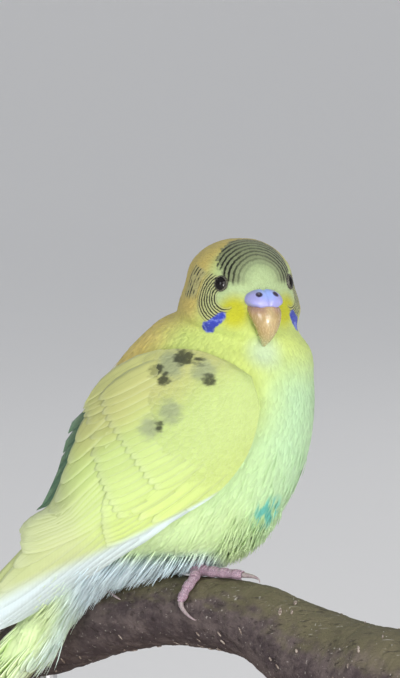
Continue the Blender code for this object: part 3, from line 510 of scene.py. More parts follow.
@dataclass(frozen=True)
class Body:
    """The loft that gives the bird its form, from the tail's root to the crown."""

    torso: tuple = (
        ((-45.8, -9.5), (-36.0, -18.6), 6.4), ((-42.5, -1.0), (-30.6, -7.6), 9.2),
        ((-40.0, 8.0), (-21.0, 1.4), 13.0), ((-37.0, 18.0), (-8.0, 4.7), 17.0),
        ((-33.5, 28.0), (4.5, 4.9), 19.6), ((-30.0, 37.5), (15.0, 9.8), 20.8),
        ((-26.0, 46.0), (22.8, 19.6), 21.2), ((-22.5, 52.5), (27.6, 31.0), 20.4),
        ((-18.6, 58.0), (29.3, 42.0), 18.8), ((-14.4, 62.2), (29.2, 51.0), 16.4),
        ((-10.6, 65.7), (28.4, 58.4), 13.2),
    )
    wing_run: tuple = (
        ((-72.0, -19.0), (-61.0, -28.0), 4.6), ((-64.0, -10.0), (-51.5, -20.5), 7.4),
        ((-57.5, -1.5), (-42.0, -13.5), 10.6), ((-51.5, 7.0), (-32.0, -7.0), 13.9),
        ((-45.5, 15.0), (-21.5, -1.5), 16.4),
    )
    wing_lift: float = 1.3
    yaw: float = math.radians(57.0)
    head_ahead: float = 10.5
    neck_side: float = 1.3
    jaw: tuple = (66.4, 7.0, 12.3, 16.2, 16.4)
    cheek: tuple = (70.4, 5.0, 13.6, 15.6, 15.6)
    brow_up: float = 74.6
    brow: tuple = (13.3, 14.7, 14.1)
    crown_rise: float = 11.8
    face_power: float = 1.82
    crown_steps: tuple = (0.0, 24.0, 45.0, 62.0, 76.0)
    neck_from: float = 9.3
    head_from: float = 11.6

    def torso_row(self, section: tuple, grow: float = 0.0) -> list[float]:
        """A torso section as numbers."""
        (back, back_up), (front, front_up), half = section
        tilt = math.atan2(back_up - front_up, front - back)
        depth = math.hypot(front - back, back_up - front_up) / 2 + grow
        middle = ((back + front) / 2, (back_up + front_up) / 2)
        return [0.0, middle[0], middle[1], 0.0, tilt, depth, depth, half + grow, 2.0]

    def head_row(self, up: float, tilt: float, front: float, back: float, half: float,
                 turn: float = 1.0, power: float | None = None) -> list[float]:
        """A head section as the same numbers."""
        return [0.0, self.head_ahead, up, self.yaw * turn, math.radians(tilt), front, back, half,
                power or self.face_power]

    def table(self) -> Array:
        """Every section from the tail's root to the crown."""
        rows = [self.torso_row(section) for section in self.torso]
        rows[-1][0] = self.neck_side
        rows.append(self.head_row(*self.jaw, turn=0.8, power=1.95))
        rows.append(self.head_row(*self.cheek))
        for degrees in self.crown_steps:
            angle = math.radians(degrees)
            size = [reach * math.cos(angle) for reach in self.brow]
            rows.append(self.head_row(self.brow_up + self.crown_rise * math.sin(angle),
                                      4.0 * math.cos(angle), *size))
        return np.array(rows)

    def wing_table(self) -> Array:
        """The sections that the wings lie on."""
        rows = [self.torso_row(section) for section in self.wing_run]
        rows += [self.torso_row(section, self.wing_lift) for section in self.torso[3:]]
        return np.array(rows)

    def head(self, forward: float, side: float, up: float) -> Array:
        """A place given in the head's own frame."""
        c, s = math.cos(self.yaw), math.sin(self.yaw)
        return np.stack(np.broadcast_arrays(-s * forward + c * side,
                                            self.head_ahead + c * forward + s * side, up), -1)


def ring_points(table: Array, at: Array, angle: Array, inset: Array | float = 0.0) -> Array:
    """Places on a loft: angle 0 is in front, a quarter turn is on the bird's left."""
    row = curve(table, at)
    middle, forward, side, _ = frames(row)
    c, s = np.cos(angle), np.sin(angle)
    reach = np.where(c >= 0, row[..., 5], row[..., 6]) - inset
    power = np.where(c >= 0, row[..., 8], 2.0)
    size = (np.abs(c) ** power + np.abs(s) ** power) ** (-1.0 / power)
    return (middle + forward * (c * size * reach)[..., None]
            + side * (s * size * (row[..., 7] - inset))[..., None])


def locate(table: Array, places: Array) -> tuple[Array, Array]:
    """The section and the angle of places on or near a loft."""
    low = np.zeros(len(places))
    high = np.full(len(places), len(table) - 1.0)
    for _ in range(20):
        middle_at = (low + high) / 2
        middle, _, _, upward = frames(curve(table, middle_at))
        beyond = ((places - middle) * upward).sum(-1) > 0
        low = np.where(beyond, middle_at, low)
        high = np.where(beyond, high, middle_at)
    row = curve(table, low)
    middle, forward, side, _ = frames(row)
    away = places - middle
    ahead, left = (away * forward).sum(-1), (away * side).sum(-1)
    angle = np.arctan2(left / row[..., 7], ahead / np.where(ahead >= 0, row[..., 5], row[..., 6]))
    return low, angle


# Materials


class Field:
    """A number or a colour that a material works out, which Python's operators combine."""

    def __init__(self, paint: "Paint", socket: bpy.types.NodeSocket) -> None:
        """Keeps the socket that gives it."""
        self.paint = paint
        self.socket = socket

    def math(self, operation: str, other: "Field | float | None" = None) -> "Field":
        """This value and another one in a Math node."""
        return self.paint.math(operation, self, other)

    def __add__(self, other: "Field | float") -> "Field":
        """The sum."""
        return self.math("ADD", other)

    def __sub__(self, other: "Field | float") -> "Field":
        """The difference."""
        return self.math("SUBTRACT", other)

    def __mul__(self, other: "Field | float") -> "Field":
        """The product."""
        return self.math("MULTIPLY", other)

    def __truediv__(self, other: "Field | float") -> "Field":
        """The quotient."""
        return self.math("DIVIDE", other)

    def ease(self, low: float, high: float) -> "Field":
        """A smooth step from 0 at low to 1 at high, which may be the lower of the two."""
        if low > high:
            return self.paint.math("SUBTRACT", 1.0, self.ease(high, low))
        node = self.paint.node("ShaderNodeMapRange")
        node.interpolation_type = "SMOOTHSTEP"
        node.inputs["From Min"].default_value = low
        node.inputs["From Max"].default_value = high
        self.paint.feed(node.inputs["Value"], self)
        return Field(self.paint, node.outputs["Result"])

    def wave(self, length: float, shift: float = 0.0) -> "Field":
        """A sine of this value, from -1 to 1."""
        return ((self + shift) * (2 * math.pi / length)).math("SINE")


class Paint:
    """One material in the making: its node tree, its coordinates and its shader."""

    def __init__(self, name: str, roughness: float, **constants: float) -> None:
        """Starts a Principled material, with constants set on the shader's own sockets."""
        self.material = bpy.data.materials.new(name)
        self.material.use_nodes = True
        self.tree = self.material.node_tree
        self.shader = self.tree.nodes["Principled BSDF"]
        self.shader.inputs["Roughness"].default_value = roughness
        for socket, value in constants.items():
            self.shader.inputs[socket.replace("_", " ")].default_value = value
        self.object = self.node("ShaderNodeTexCoord").outputs["Object"]
        self.inner = self.bird_places()

    def node(self, kind: str) -> bpy.types.Node:
        """A new node."""
        return self.tree.nodes.new(kind)

    def feed(self, socket: bpy.types.NodeSocket, value: "Field | float | Colour") -> None:
        """Gives an input a field, a number or a colour."""
        if isinstance(value, Field):
            self.tree.links.new(value.socket, socket)
        elif isinstance(value, tuple):
            socket.default_value = (*value, 1.0) if len(socket.default_value) == 4 else value
        else:
            socket.default_value = value

    def math(self, operation: str, first: "Field | float",
             second: "Field | float | None" = None) -> Field:
        """A Math node."""
        node = self.node("ShaderNodeMath")
        node.operation = operation
        self.feed(node.inputs[0], first)
        if second is not None:
            self.feed(node.inputs[1], second)
        return Field(self, node.outputs[0])

    def vector(self, operation: str, first: Field, second: "Field | Colour") -> Field:
        """A Vector Math node."""
        node = self.node("ShaderNodeVectorMath")
        node.operation = operation
        self.feed(node.inputs[0], first)
        self.feed(node.inputs[1], second)
        return Field(self, node.outputs["Value" if operation in ("DISTANCE", "DOT_PRODUCT")
                                        else "Vector"])

    def joined(self, x: Field, y: Field, z: Field) -> Field:
        """Three numbers as one vector."""
        node = self.node("ShaderNodeCombineXYZ")
        for socket, value in zip(node.inputs, (x, y, z)):
            self.feed(socket, value)
        return Field(self, node.outputs[0])

    def split(self, value: Field) -> tuple[Field, Field, Field]:
        """The three numbers of a vector."""
        node = self.node("ShaderNodeSeparateXYZ")
        self.feed(node.inputs[0], value)
        return tuple(Field(self, socket) for socket in node.outputs)

    def bird_places(self) -> Field:
        """Object coordinates turned into the bird's millimetres."""
        flipped = self.vector("MULTIPLY", Field(self, self.object), (1 / MM, -1 / MM, 1 / MM))
        return self.vector("ADD", flipped, (0.0, BASE_AHEAD, -PERCH_TOP))

    def noise(self, scale: float, detail: float = 2.0, stretch: Colour = (1.0, 1.0, 1.0),
              roughness: float = 0.5, places: Field | None = None) -> Field:
        """Noise from 0 to 1, about one swing in every scale millimetres."""
        node = self.node("ShaderNodeTexNoise")
        node.inputs["Scale"].default_value = 1.0 / scale
        node.inputs["Detail"].default_value = detail
        node.inputs["Roughness"].default_value = roughness
        spots = places or self.inner
        if stretch != (1.0, 1.0, 1.0):
            spots = self.vector("DIVIDE", spots, stretch)
        self.feed(node.inputs["Vector"], spots)
        return Field(self, node.outputs["Fac"])

    def cells(self, scale: float, stretch: Colour = (1.0, 1.0, 1.0),
              feature: str = "DISTANCE_TO_EDGE") -> Field:
        """Distances in a net of cells of about this many millimetres."""
        node = self.node("ShaderNodeTexVoronoi")
        node.feature = feature
        node.inputs["Scale"].default_value = 1.0 / scale
        self.feed(node.inputs["Vector"], self.vector("DIVIDE", self.inner, stretch))
        return Field(self, node.outputs["Distance"])

    def mix(self, first: "Field | Colour", second: "Field | Colour", share: Field) -> Field:
        """A colour between two."""
        node = self.node("ShaderNodeMix")
        node.data_type = "RGBA"
        self.feed(node.inputs[0], share)
        self.feed(node.inputs[6], first)
        self.feed(node.inputs[7], second)
        return Field(self, node.outputs[2])

    def scaled(self, colour: Field, factor: Field) -> Field:
        """A colour made lighter or darker."""
        return self.vector("MULTIPLY", colour, self.joined(factor, factor, factor))

    def lay(self) -> tuple[Field, Field, Field]:
        """Across, along and tone of the feather at hand."""
        node = self.node("ShaderNodeAttribute")
        node.attribute_name = LAY
        return self.split(Field(self, node.outputs["Vector"]))

    def facing(self) -> tuple[Field, Field, Field]:
        """The way out of the surface, in the object's own axes."""
        node = self.node("ShaderNodeTexCoord")
        return self.split(Field(self, node.outputs["Normal"]))

    def bump(self, height: Field, depth: float, strength: float = 1.0) -> None:
        """Bump from a height, whose full swing is this many millimetres."""
        node = self.node("ShaderNodeBump")
        node.inputs["Strength"].default_value = strength
        node.inputs["Distance"].default_value = depth * MM
        self.feed(node.inputs["Height"], height)
        self.feed(self.shader.inputs["Normal"], Field(self, node.outputs[0]))

    def soften(self, weight: float, reach: float, tint: Colour = (1.0, 0.95, 0.6)) -> None:
        """Lets light wander this many millimetres under the surface."""
        self.shader.inputs["Subsurface Weight"].default_value = weight
        self.shader.inputs["Subsurface Radius"].default_value = tint
        self.shader.inputs["Subsurface Scale"].default_value = reach * MM

    def finish(self, colour: "Field | Colour", roughness: Field | None = None) -> bpy.types.Material:
        """The finished material."""
        self.feed(self.shader.inputs["Base Color"], colour)
        if roughness is not None:
            self.feed(self.shader.inputs["Roughness"], roughness)
        return self.material


@dataclass(frozen=True)
class Markings:
    """The bird's colours and marks, which its skin, coat, wings and tail share."""

    lemon: Colour = (0.74, 0.88, 0.24)
    ochre: Colour = (0.90, 0.72, 0.20)
    pale: Colour = (0.74, 0.90, 0.46)
    breast: Colour = (0.60, 0.88, 0.50)
    belly: Colour = (0.66, 0.86, 0.42)
    vent: Colour = (0.78, 0.94, 0.99)
    face: Colour = (0.74, 0.74, 0.035)
    forehead: Colour = (0.68, 0.86, 0.42)
    chin: Colour = (0.70, 0.88, 0.55)
    crown: Colour = (0.29, 0.33, 0.17)
    ear: Colour = (0.62, 0.62, 0.30)
    bar: Colour = (0.016, 0.018, 0.009)
    cheek: Colour = (0.055, 0.085, 0.62)
    # Painted highlight: the lighter violet of the cheek patches' sheen.
    cheek_highlight: Colour = (0.25, 0.32, 0.90)
    rump: Colour = (0.20, 0.42, 0.20)
    turquoise: Colour = (0.16, 0.62, 0.50)
    crown_centre: tuple = (16.0, 0.0, 76.5)
    crown_pitch: float = 1.25
    ear_centre: tuple = (10.0, 9.0, 72.0)
    ear_pitch: float = 0.7
    nape_pitch: float = 1.15
    cheek_line: tuple = ((9.9, 10.0, 67.5), (6.9, 12.3, 64.7))
    cheek_radius: tuple = (1.0, 1.7)
    # Middle of the turquoise streaks that stand in for the shade between feathers at the body's outline: painted
    # shade.
    outline_shade_spot: tuple = (-8.5, 18.2, 17.4)
    tail_root: tuple = (0.0, -41.3, -13.8)
    tail_top: tuple = (0.42, -0.68, 0.59)

    def head_places(self, paint: Paint, body: Body) -> Field:
        """The head's own frame, with both sides as one."""
        x, ahead, up = paint.split(paint.inner)
        c, s = math.cos(body.yaw), math.sin(body.yaw)
        ahead = ahead - body.head_ahead
        forward = ahead * c - x * s
        side = (x * c + ahead * s).math("ABSOLUTE")
        return paint.joined(forward, side, up)

    def body_colour(self, paint: Paint) -> Field:
        """The ground colours of the trunk, from back to breast and vent, with turquoise streaks of painted shade
        at the lower breast's outline.
        """
        _, ahead, up = paint.split(paint.inner)
        drift = (paint.noise(9.0, 2.0) - 0.5) * 5.0
        back = ahead + 9.0 + (up * -1.0 + 60.0) * 0.42 + drift
        colour = paint.mix(self.lemon, self.ochre, back.ease(6.0, -5.0) * up.ease(30.0, 44.0))
        rump = back.ease(3.0, -4.0) * up.ease(46.0, 34.0) * up.ease(-2.0, 10.0)
        patchy = paint.noise(5.0, 1.0, (1.0, 1.0, 2.0)).ease(0.40, 0.60)
        colour = paint.mix(colour, self.rump, rump * patchy * 0.5)
        colour = paint.mix(colour, self.pale, ahead.ease(-26.0, -38.0) * up.ease(12.0, 4.0))
        breast = (ahead + drift).ease(13.0, 26.0) * up.ease(62.0, 46.0)
        colour = paint.mix(colour, self.breast, breast)
        flank = (up + drift).ease(46.0, 34.0) * ahead.ease(-6.0, 4.0)
        colour = paint.mix(colour, self.breast, flank * 0.75)
        belly = (up + drift).ease(26.0, 14.0) * (ahead + drift).ease(18.0, 8.0)
        colour = paint.mix(colour, self.belly, belly * ahead.ease(-38.0, -26.0))
        vent = (up + drift * 0.5).ease(9.0, 2.5) * ahead.ease(9.0, 2.0) * ahead.ease(-40.0, -28.0)
        colour = paint.mix(colour, self.vent, vent)
        away = paint.vector("SUBTRACT", paint.inner, self.tail_root)
        under = paint.vector("DOT_PRODUCT", away, self.tail_top) + drift * 0.3
        colour = paint.mix(colour, self.vent, under.ease(-4.5, -7.5) * ahead.ease(-26.0, -36.0) * 0.7)
        # Turquoise streaks low on the breast: painted shade between the feathers at the body's outline.
        streak = paint.noise(1.9, 1.0, (1.0, 1.0, 5.0)).ease(0.43, 0.58)
        spot = paint.vector("DISTANCE", paint.inner, self.outline_shade_spot).ease(6.4, 2.6)
        return paint.mix(colour, self.turquoise, spot * streak)

    def head_colour(self, paint: Paint, body: Body, trunk: Field) -> Field:
        """The head's yellow, bars and cheek patches over the trunk's colour."""
        places = self.head_places(paint, body)
        forward, side, up = paint.split(places)
        ragged = (paint.noise(0.9, 1.0) - 0.5) + (paint.noise(3.2, 1.0) - 0.5) * 0.8
        colour = paint.mix(trunk, self.ochre, up.ease(62.0, 70.0) * forward.ease(8.5, 2.5))
        colour = paint.mix(colour, self.forehead, up.ease(66.0, 72.0) * forward.ease(3.0, 10.0))
        face = paint.vector("DISTANCE", places, (12.0, 7.6, 68.5)).ease(6.0, 2.0)
        colour = paint.mix(colour, self.face, face)
        chin = paint.vector("DISTANCE", places, (13.5, 0.0, 58.0)).ease(7.0, 1.0)
        colour = paint.mix(colour, self.chin, chin * 0.9)

        far = paint.vector("DISTANCE", places, self.crown_centre) + ragged * 0.5
        patch = (forward + up * 0.75 + ragged * 2.0).ease(66.2, 67.2) * up.ease(74.6, 76.6)
        colour = paint.mix(colour, self.crown, patch * far.ease(3.5, 9.5) * 0.92)
        fine = far.wave(self.crown_pitch).ease(-0.2, 0.5)
        worn = paint.noise(3.0, 1.0).ease(0.2, 0.55) * 0.3 + 0.7
        crisp = (side.ease(1.0, 8.0) * 0.4 + 0.6) * far.ease(4.6, 10.6)
        colour = paint.mix(colour, self.bar, fine * patch * worn * crisp)

        near = paint.vector("DISTANCE", places, self.ear_centre) + ragged * 0.45
        below = (up + forward * 0.4 + ragged * 1.6).ease(80.8, 79.8)
        ear = near.ease(2.1, 2.9) * near.ease(8.3, 7.2) * up.ease(64.0, 65.5)
        ear = ear * (forward - up * 0.6 + ragged).ease(-30.2, -31.2)
        ear = ear * (forward + up * 0.45 + ragged).ease(42.9, 42.1)
        nape = near.ease(8.0, 8.8) * near.ease(14.5, 12.0) * up.ease(70.8, 73.0) * side.ease(5.0, 8.0)
        patch = (ear + nape).math("MINIMUM", 1.0) * below
        colour = paint.mix(colour, self.ear, patch * 0.7)
        fine = near.wave(self.ear_pitch).ease(-0.15, 0.5) * ear
        strokes = near.wave(self.nape_pitch).ease(0.0, 0.6) * nape
        fine = (fine + strokes * paint.noise(2.0, 1.0).ease(0.35, 0.55)).math("MINIMUM", 1.0) * below
        colour = paint.mix(colour, self.bar, fine * 0.95)

        start, end = (np.array(spot) for spot in self.cheek_line)
        way = end - start
        along = paint.vector("DOT_PRODUCT", paint.vector("SUBTRACT", places, self.cheek_line[0]),
                             tuple(way / (way @ way))).math("MINIMUM", 1.0).math("MAXIMUM", 0.0)
        middle = paint.joined(*(along * float(step) + float(spot) for step, spot in zip(way, start)))
        narrow, wide = self.cheek_radius
        reach = paint.vector("DISTANCE", places, middle) - along * (wide - narrow) - narrow
        reach = reach + ragged * 0.9
        # Lighter violet blotches at random over the cheek patches: painted highlight of their sheen.
        blue = paint.mix(self.cheek, self.cheek_highlight, paint.noise(1.0, 1.0).ease(0.46, 0.74))
        return paint.mix(colour, blue, reach.ease(0.3, -0.3))


@dataclass(frozen=True)
class CoatFinish:
    """Soft small feathers."""

    name: str = "budgie_coat"
    roughness: float = 0.72
    sheen: float = 0.08

    def material(self, marks: Markings, body: Body) -> bpy.types.Material:
        """The feathers' material: a little random light and dark on every feather, painted shade towards each
        feather's root, and painted light over the body, darker on the head and lighter low down.
        """
        paint = Paint(self.name, self.roughness, Sheen_Weight=self.sheen, Specular_IOR_Level=0.2)
        paint.soften(0.2, 1.5)
        colour = marks.head_colour(paint, body, marks.body_colour(paint))
        across, along, tone = paint.lay()
        # Random tone on each feather, which is also darker towards its root: painted shade under the feathers
        # that overlap it.
        shade = tone * 0.14 + 0.90 + along.ease(0.2, 1.0) * 0.07
        _, _, up = paint.split(paint.inner)
        # Painted light over the whole body: darkest on the head, lighter lower down, lightest at the belly and
        # vent.
        shade = shade * (up.ease(50.0, 4.0) * 0.14 + up.ease(22.0, 2.0) * 0.1 + up.ease(72.0, 58.0) * 0.12 + 0.61)
        barbs = paint.math("ABSOLUTE", across) * 1.4 - along * 6.0
        paint.bump(barbs.wave(0.35), 0.02, 0.35)
        return paint.finish(paint.scaled(colour, shade))


@dataclass(frozen=True)
class WingFinish:
    """Smooth flight feathers and coverts, with the wing's pale edge and its few dark marks."""

    name: str = "budgie_wing"
    roughness: float = 0.6
    lemon: Colour = (0.70, 0.86, 0.26)
    # Painted light: the lighter yellow of the wing's middle, where the light falls most.
    painted_light_lemon: Colour = (0.74, 0.92, 0.31)
    ochre: Colour = (0.74, 0.76, 0.27)
    flight: Colour = (0.60, 0.67, 0.30)
    edge: Colour = (0.82, 0.96, 0.99)
    rim: Colour = (0.82, 0.88, 0.60)
    grey: Colour = (0.42, 0.48, 0.27)
    dark: Colour = (0.035, 0.038, 0.02)
    green: Colour = (0.10, 0.20, 0.12)
    dark_spots: tuple = (((18.6, -1.6, 57.2), 2.5), ((18.4, 2.2, 56.0), 1.9), ((19.4, -8.6, 54.2), 2.0),
                         ((20.4, -6.2, 51.9), 1.5), ((21.6, 5.4, 51.9), 1.6), ((24.0, -7.2, 40.2), 1.1))
    grey_spots: tuple = (((23.4, -9.6, 40.0), 2.6), ((23.0, -4.1, 43.7), 2.8), ((20.6, 4.0, 54.2), 2.8),
                         ((18.9, -4.5, 55.6), 3.6))

    def spots(self, paint: Paint, places: Field, marks: tuple, soft: float, ragged: Field) -> Field:
        """How much of a spot lies over a place."""
        found = None
        for middle, radius in marks:
            part = paint.vector("DISTANCE", places, middle) + ragged
            part = (part - radius).ease(soft, -soft)
            found = part if found is None else found.math("MAXIMUM", part)
        return found

    def material(self) -> bpy.types.Material:
        """The wing's material, with painted light: a lighter band over its middle, and lighter low down than at
        the top.
        """
        paint = Paint(self.name, self.roughness, Sheen_Weight=0.05, Specular_IOR_Level=0.25)
        paint.soften(0.2, 1.5)
        x, ahead, up = paint.split(paint.inner)
        places = paint.joined(x.math("ABSOLUTE"), ahead, up)
        across, along, tone = paint.lay()
        drift = (paint.noise(8.0, 1.0) - 0.5) * 6.0
        above = (up - ahead * 0.58 - 18.3) * 0.865
        # A lighter band over the wing's middle, where the light falls most: painted light.
        colour = paint.mix(self.lemon, self.painted_light_lemon, above.ease(4.0, 13.0) * above.ease(30.0, 20.0))
        colour = paint.mix(colour, self.ochre, (above + drift).ease(21.0, 33.0))
        colour = paint.mix(colour, self.flight, (ahead + up * 0.6 + drift).ease(-8.0, -28.0))
        rim = paint.math("ABSOLUTE", across).ease(0.72, 0.98).math("MAXIMUM", along.ease(0.86, 1.0))
        colour = paint.mix(colour, self.rim, rim * 0.25)
        width = ahead.ease(8.0, -60.0) * 6.0 + 1.4
        band = (above / width).ease(1.0, 0.25)
        colour = paint.mix(colour, self.edge, band * ahead.ease(14.0, 4.0) * 0.92)
        colour = paint.mix(colour, self.green, tone.ease(1.2, 1.4))
        ragged = (paint.noise(1.7, 2.0, (1.0, 1.6, 0.8)) - 0.5) * 3.6
        colour = paint.mix(colour, self.grey, self.spots(paint, places, self.grey_spots, 1.6, ragged) * 0.8)
        dark = self.spots(paint, places, self.dark_spots, 0.7, ragged) * (along.ease(0.1, 0.7) * 0.45 + 0.55)
        colour = paint.mix(colour, self.dark, dark * 0.88)
        # Random tone on each feather, and painted light: the wing is lighter low down and darker towards its top.
        shade = (tone.math("MINIMUM", 1.0) * 0.08 + 0.94) * (up.ease(40.0, 5.0) * 0.22 + 0.68)
        shaft = paint.math("ABSOLUTE", across).ease(0.09, 0.03) * 0.06
        barbs = paint.math("ABSOLUTE", across) * 1.2 - along * 24.0
        paint.bump(barbs.wave(0.42) + shaft * 8.0, 0.02, 0.3)
        return paint.finish(paint.scaled(colour, shade - shaft))


@dataclass(frozen=True)
class TailFinish:
    """Long tail feathers: yellow-green above and pale grey-blue below."""

    name: str = "budgie_tail"
    above: Colour = (0.74, 0.90, 0.48)
    below: Colour = (0.66, 0.85, 0.78)
    dark: Colour = (0.06, 0.09, 0.08)
    rim: Colour = (0.86, 0.90, 0.74)
    root: tuple = (0.0, -41.3, -13.8)

    def material(self, top: Array, along_way: Array) -> bpy.types.Material:
        """The tail's material.

        Args:
            top: the way the tail's upper side looks.
            along_way: the way the tail points.
        """
        paint = Paint(self.name, 0.58, Sheen_Weight=0.05, Specular_IOR_Level=0.25)
        paint.soften(0.2, 1.5)
        away = paint.vector("SUBTRACT", paint.inner, self.root)
        height = paint.vector("DOT_PRODUCT", away, tuple(float(v) for v in top))
        reach = paint.vector("DOT_PRODUCT", away, tuple(float(v) for v in along_way))
        across, along, tone = paint.lay()
        colour = paint.mix(self.below, self.above, (height + reach * 0.05).ease(-6.4, -4.0))
        rim = paint.math("ABSOLUTE", across).ease(0.7, 0.97)
        colour = paint.mix(colour, self.rim, rim * 0.3)
        streak = paint.math("ABSOLUTE", across).ease(0.14, 0.05) * along.ease(0.35, 0.8)
        colour = paint.mix(colour, self.dark, streak * height.ease(-3.0, -5.5) * 0.4)
        shade = tone * 0.12 + 0.92
        barbs = paint.math("ABSOLUTE", across) * 1.2 - along * 26.0
        paint.bump(barbs.wave(0.42), 0.02, 0.3)
        return paint.finish(paint.scaled(colour, shade))


# The trunk, neck and head


@dataclass
class Skin:
    """The one skin under the coat, and the ground that the coat lies on."""

    body: Body
    marks: Markings
    body_inset: float = 0.42
    head_inset: float = 0.32
    voxel: float = 0.65
    leg_radii: tuple = (1.5, 1.7, 2.6, 3.6, 4.0, 3.4)
    ground: Ground = field(init=False)
    table: Array = field(init=False)

    def inset(self, at: Array) -> Array:
        """How deep the skin lies under the coat's outline."""
        share = ease(8.5, 12.0, at)
        return self.body_inset * (1 - share) + self.head_inset * share

    def loft(self, shape: Shape, sides: int = 96, steps: int = 150) -> None:
        """Adds the closed loft of trunk and head."""
        last = len(self.table) - 1.0
        at = np.linspace(0.0, last, steps)[:, None]
        angle = np.linspace(0.0, 2 * math.pi, sides, endpoint=False)[None]
        at, angle = np.broadcast_arrays(at, angle)
        places = ring_points(self.table, at, angle, self.inset(at))
        shape.grid(places, closed=True, caps=True)

    def build(self, feet: "Feet", tail: "Tail") -> bpy.types.Object:
        """Builds the skin from the trunk, the thighs and the root of the tail."""
        self.table = self.body.table()
        shape = Shape()
        self.loft(shape)
        for foot in feet.feet:
            shape.grid(foot.leg_rings(self.leg_radii), closed=True, caps=True)
        shape.grid(tail.root_rings(self.table, self.body_inset), closed=True, caps=True)
        item = shape.piece("budgie_skin")
        remesh = item.modifiers.new("one skin", "REMESH")
        remesh.mode = "VOXEL"
        remesh.voxel_size = self.voxel * MM
        smooth = item.modifiers.new("smooth", "SMOOTH")
        smooth.factor = 0.5
        smooth.iterations = 5
        item = self.ease_neck(applied(item))
        self.keep_largest(item)
        self.sink_eyes(item)
        self.map_skin(item)
        self.ground = self.as_ground(item)
        return item

    def ease_neck(self, item: bpy.types.Object) -> bpy.types.Object:
        """Smooths the skin further where the head joins the neck, so that no crease shows."""
        points = np.empty(len(item.data.vertices) * 3)
        item.data.vertices.foreach_get("co", points)
        up = from_world(points.reshape(-1, 3))[:, 2]
        weight = ease(53.0, 58.0, up) * ease(69.0, 64.5, up)
        group = item.vertex_groups.new(name="neck")
        for index in np.flatnonzero(weight > 0.02):
            group.add([int(index)], float(weight[index]), "REPLACE")
        smooth = item.modifiers.new("neck", "SMOOTH")
        smooth.factor = 0.5
        smooth.iterations = 70
        smooth.vertex_group = "neck"
        return applied(item)

    def keep_largest(self, item: bpy.types.Object) -> None:
        """Drops every loose scrap and gives the skin triangles."""
        work = bmesh.new()
        work.from_mesh(item.data)
        bmesh.ops.triangulate(work, faces=work.faces)
        unseen = set(work.verts)
        groups = []
        while unseen:
            front = [unseen.pop()]
            group = list(front)
            while front:
                for edge in front.pop().link_edges:
                    for vert in edge.verts:
                        if vert in unseen:
                            unseen.remove(vert)
                            front.append(vert)
                            group.append(vert)
            groups.append(group)
        groups.sort(key=len)
        loose = [vert for group in groups[:-1] for vert in group]
        bmesh.ops.delete(work, geom=loose, context="VERTS")
        work.to_mesh(item.data)
        work.free()

    def sink_eyes(self, item: bpy.types.Object) -> None:
        """Draws the skin in round each eye, so that the eye sits in a shallow socket."""
        mesh = item.data
        points = np.empty(len(mesh.vertices) * 3, np.float32)
        mesh.vertices.foreach_get("co", points)
        places = from_world(points.reshape(-1, 3))
        for side in Side:
            middle, out = EYES.seat(self.table, self.body, side)
            reach = np.linalg.norm(places - middle, axis=1)
            places -= out * (0.5 * ease(2.4, 1.3, reach))[:, None]
        mesh.vertices.foreach_set("co", world(places).astype(np.float32).ravel())
        mesh.update()

    def unwrap(self, places: Array) -> Array:
        """Places on the unwrap of the skin's shape: round the body, and along it."""
        at, angle = locate(self.table, places)
        along = 0.02 + 0.96 * at / (len(self.table) - 1.0)
        return np.stack([angle / (2 * math.pi) + 0.5, along], -1)

    def map_skin(self, item: bpy.types.Object) -> None:
        """Gives the skin its baking map, with no face across the map's seam."""
        mesh = item.data
        points = np.empty(len(mesh.vertices) * 3, np.float32)
        mesh.vertices.foreach_get("co", points)
        spots = self.unwrap(from_world(points.reshape(-1, 3)))
        loops = np.empty(len(mesh.loops), np.int32)
        mesh.loops.foreach_get("vertex_index", loops)
        corners = spots[loops].reshape(-1, 3, 2)
        wide = np.ptp(corners[..., 0], axis=1) > 0.5
        shifted = np.where(corners[..., 0] < 0.5, corners[..., 0] + 1.0, corners[..., 0])
        corners[..., 0] = np.where(wide[:, None], shifted, corners[..., 0])
        corners[..., 0] = 0.01 + corners[..., 0] * 0.94
        layer = mesh.uv_layers.new(name=MAP)
        layer.data.foreach_set("uv", np.clip(corners, 0.0, 1.0).astype(np.float32).ravel())

    def as_ground(self, item: bpy.types.Object) -> Ground:
        """The skin as a surface to lay feathers on."""
        mesh = item.data
        points = np.empty(len(mesh.vertices) * 3, np.float32)
        mesh.vertices.foreach_get("co", points)
        loops = np.empty(len(mesh.loops), np.int32)
        mesh.loops.foreach_get("vertex_index", loops)
        return Ground(from_world(points.reshape(-1, 3)), loops.reshape(-1, 3).astype(int))


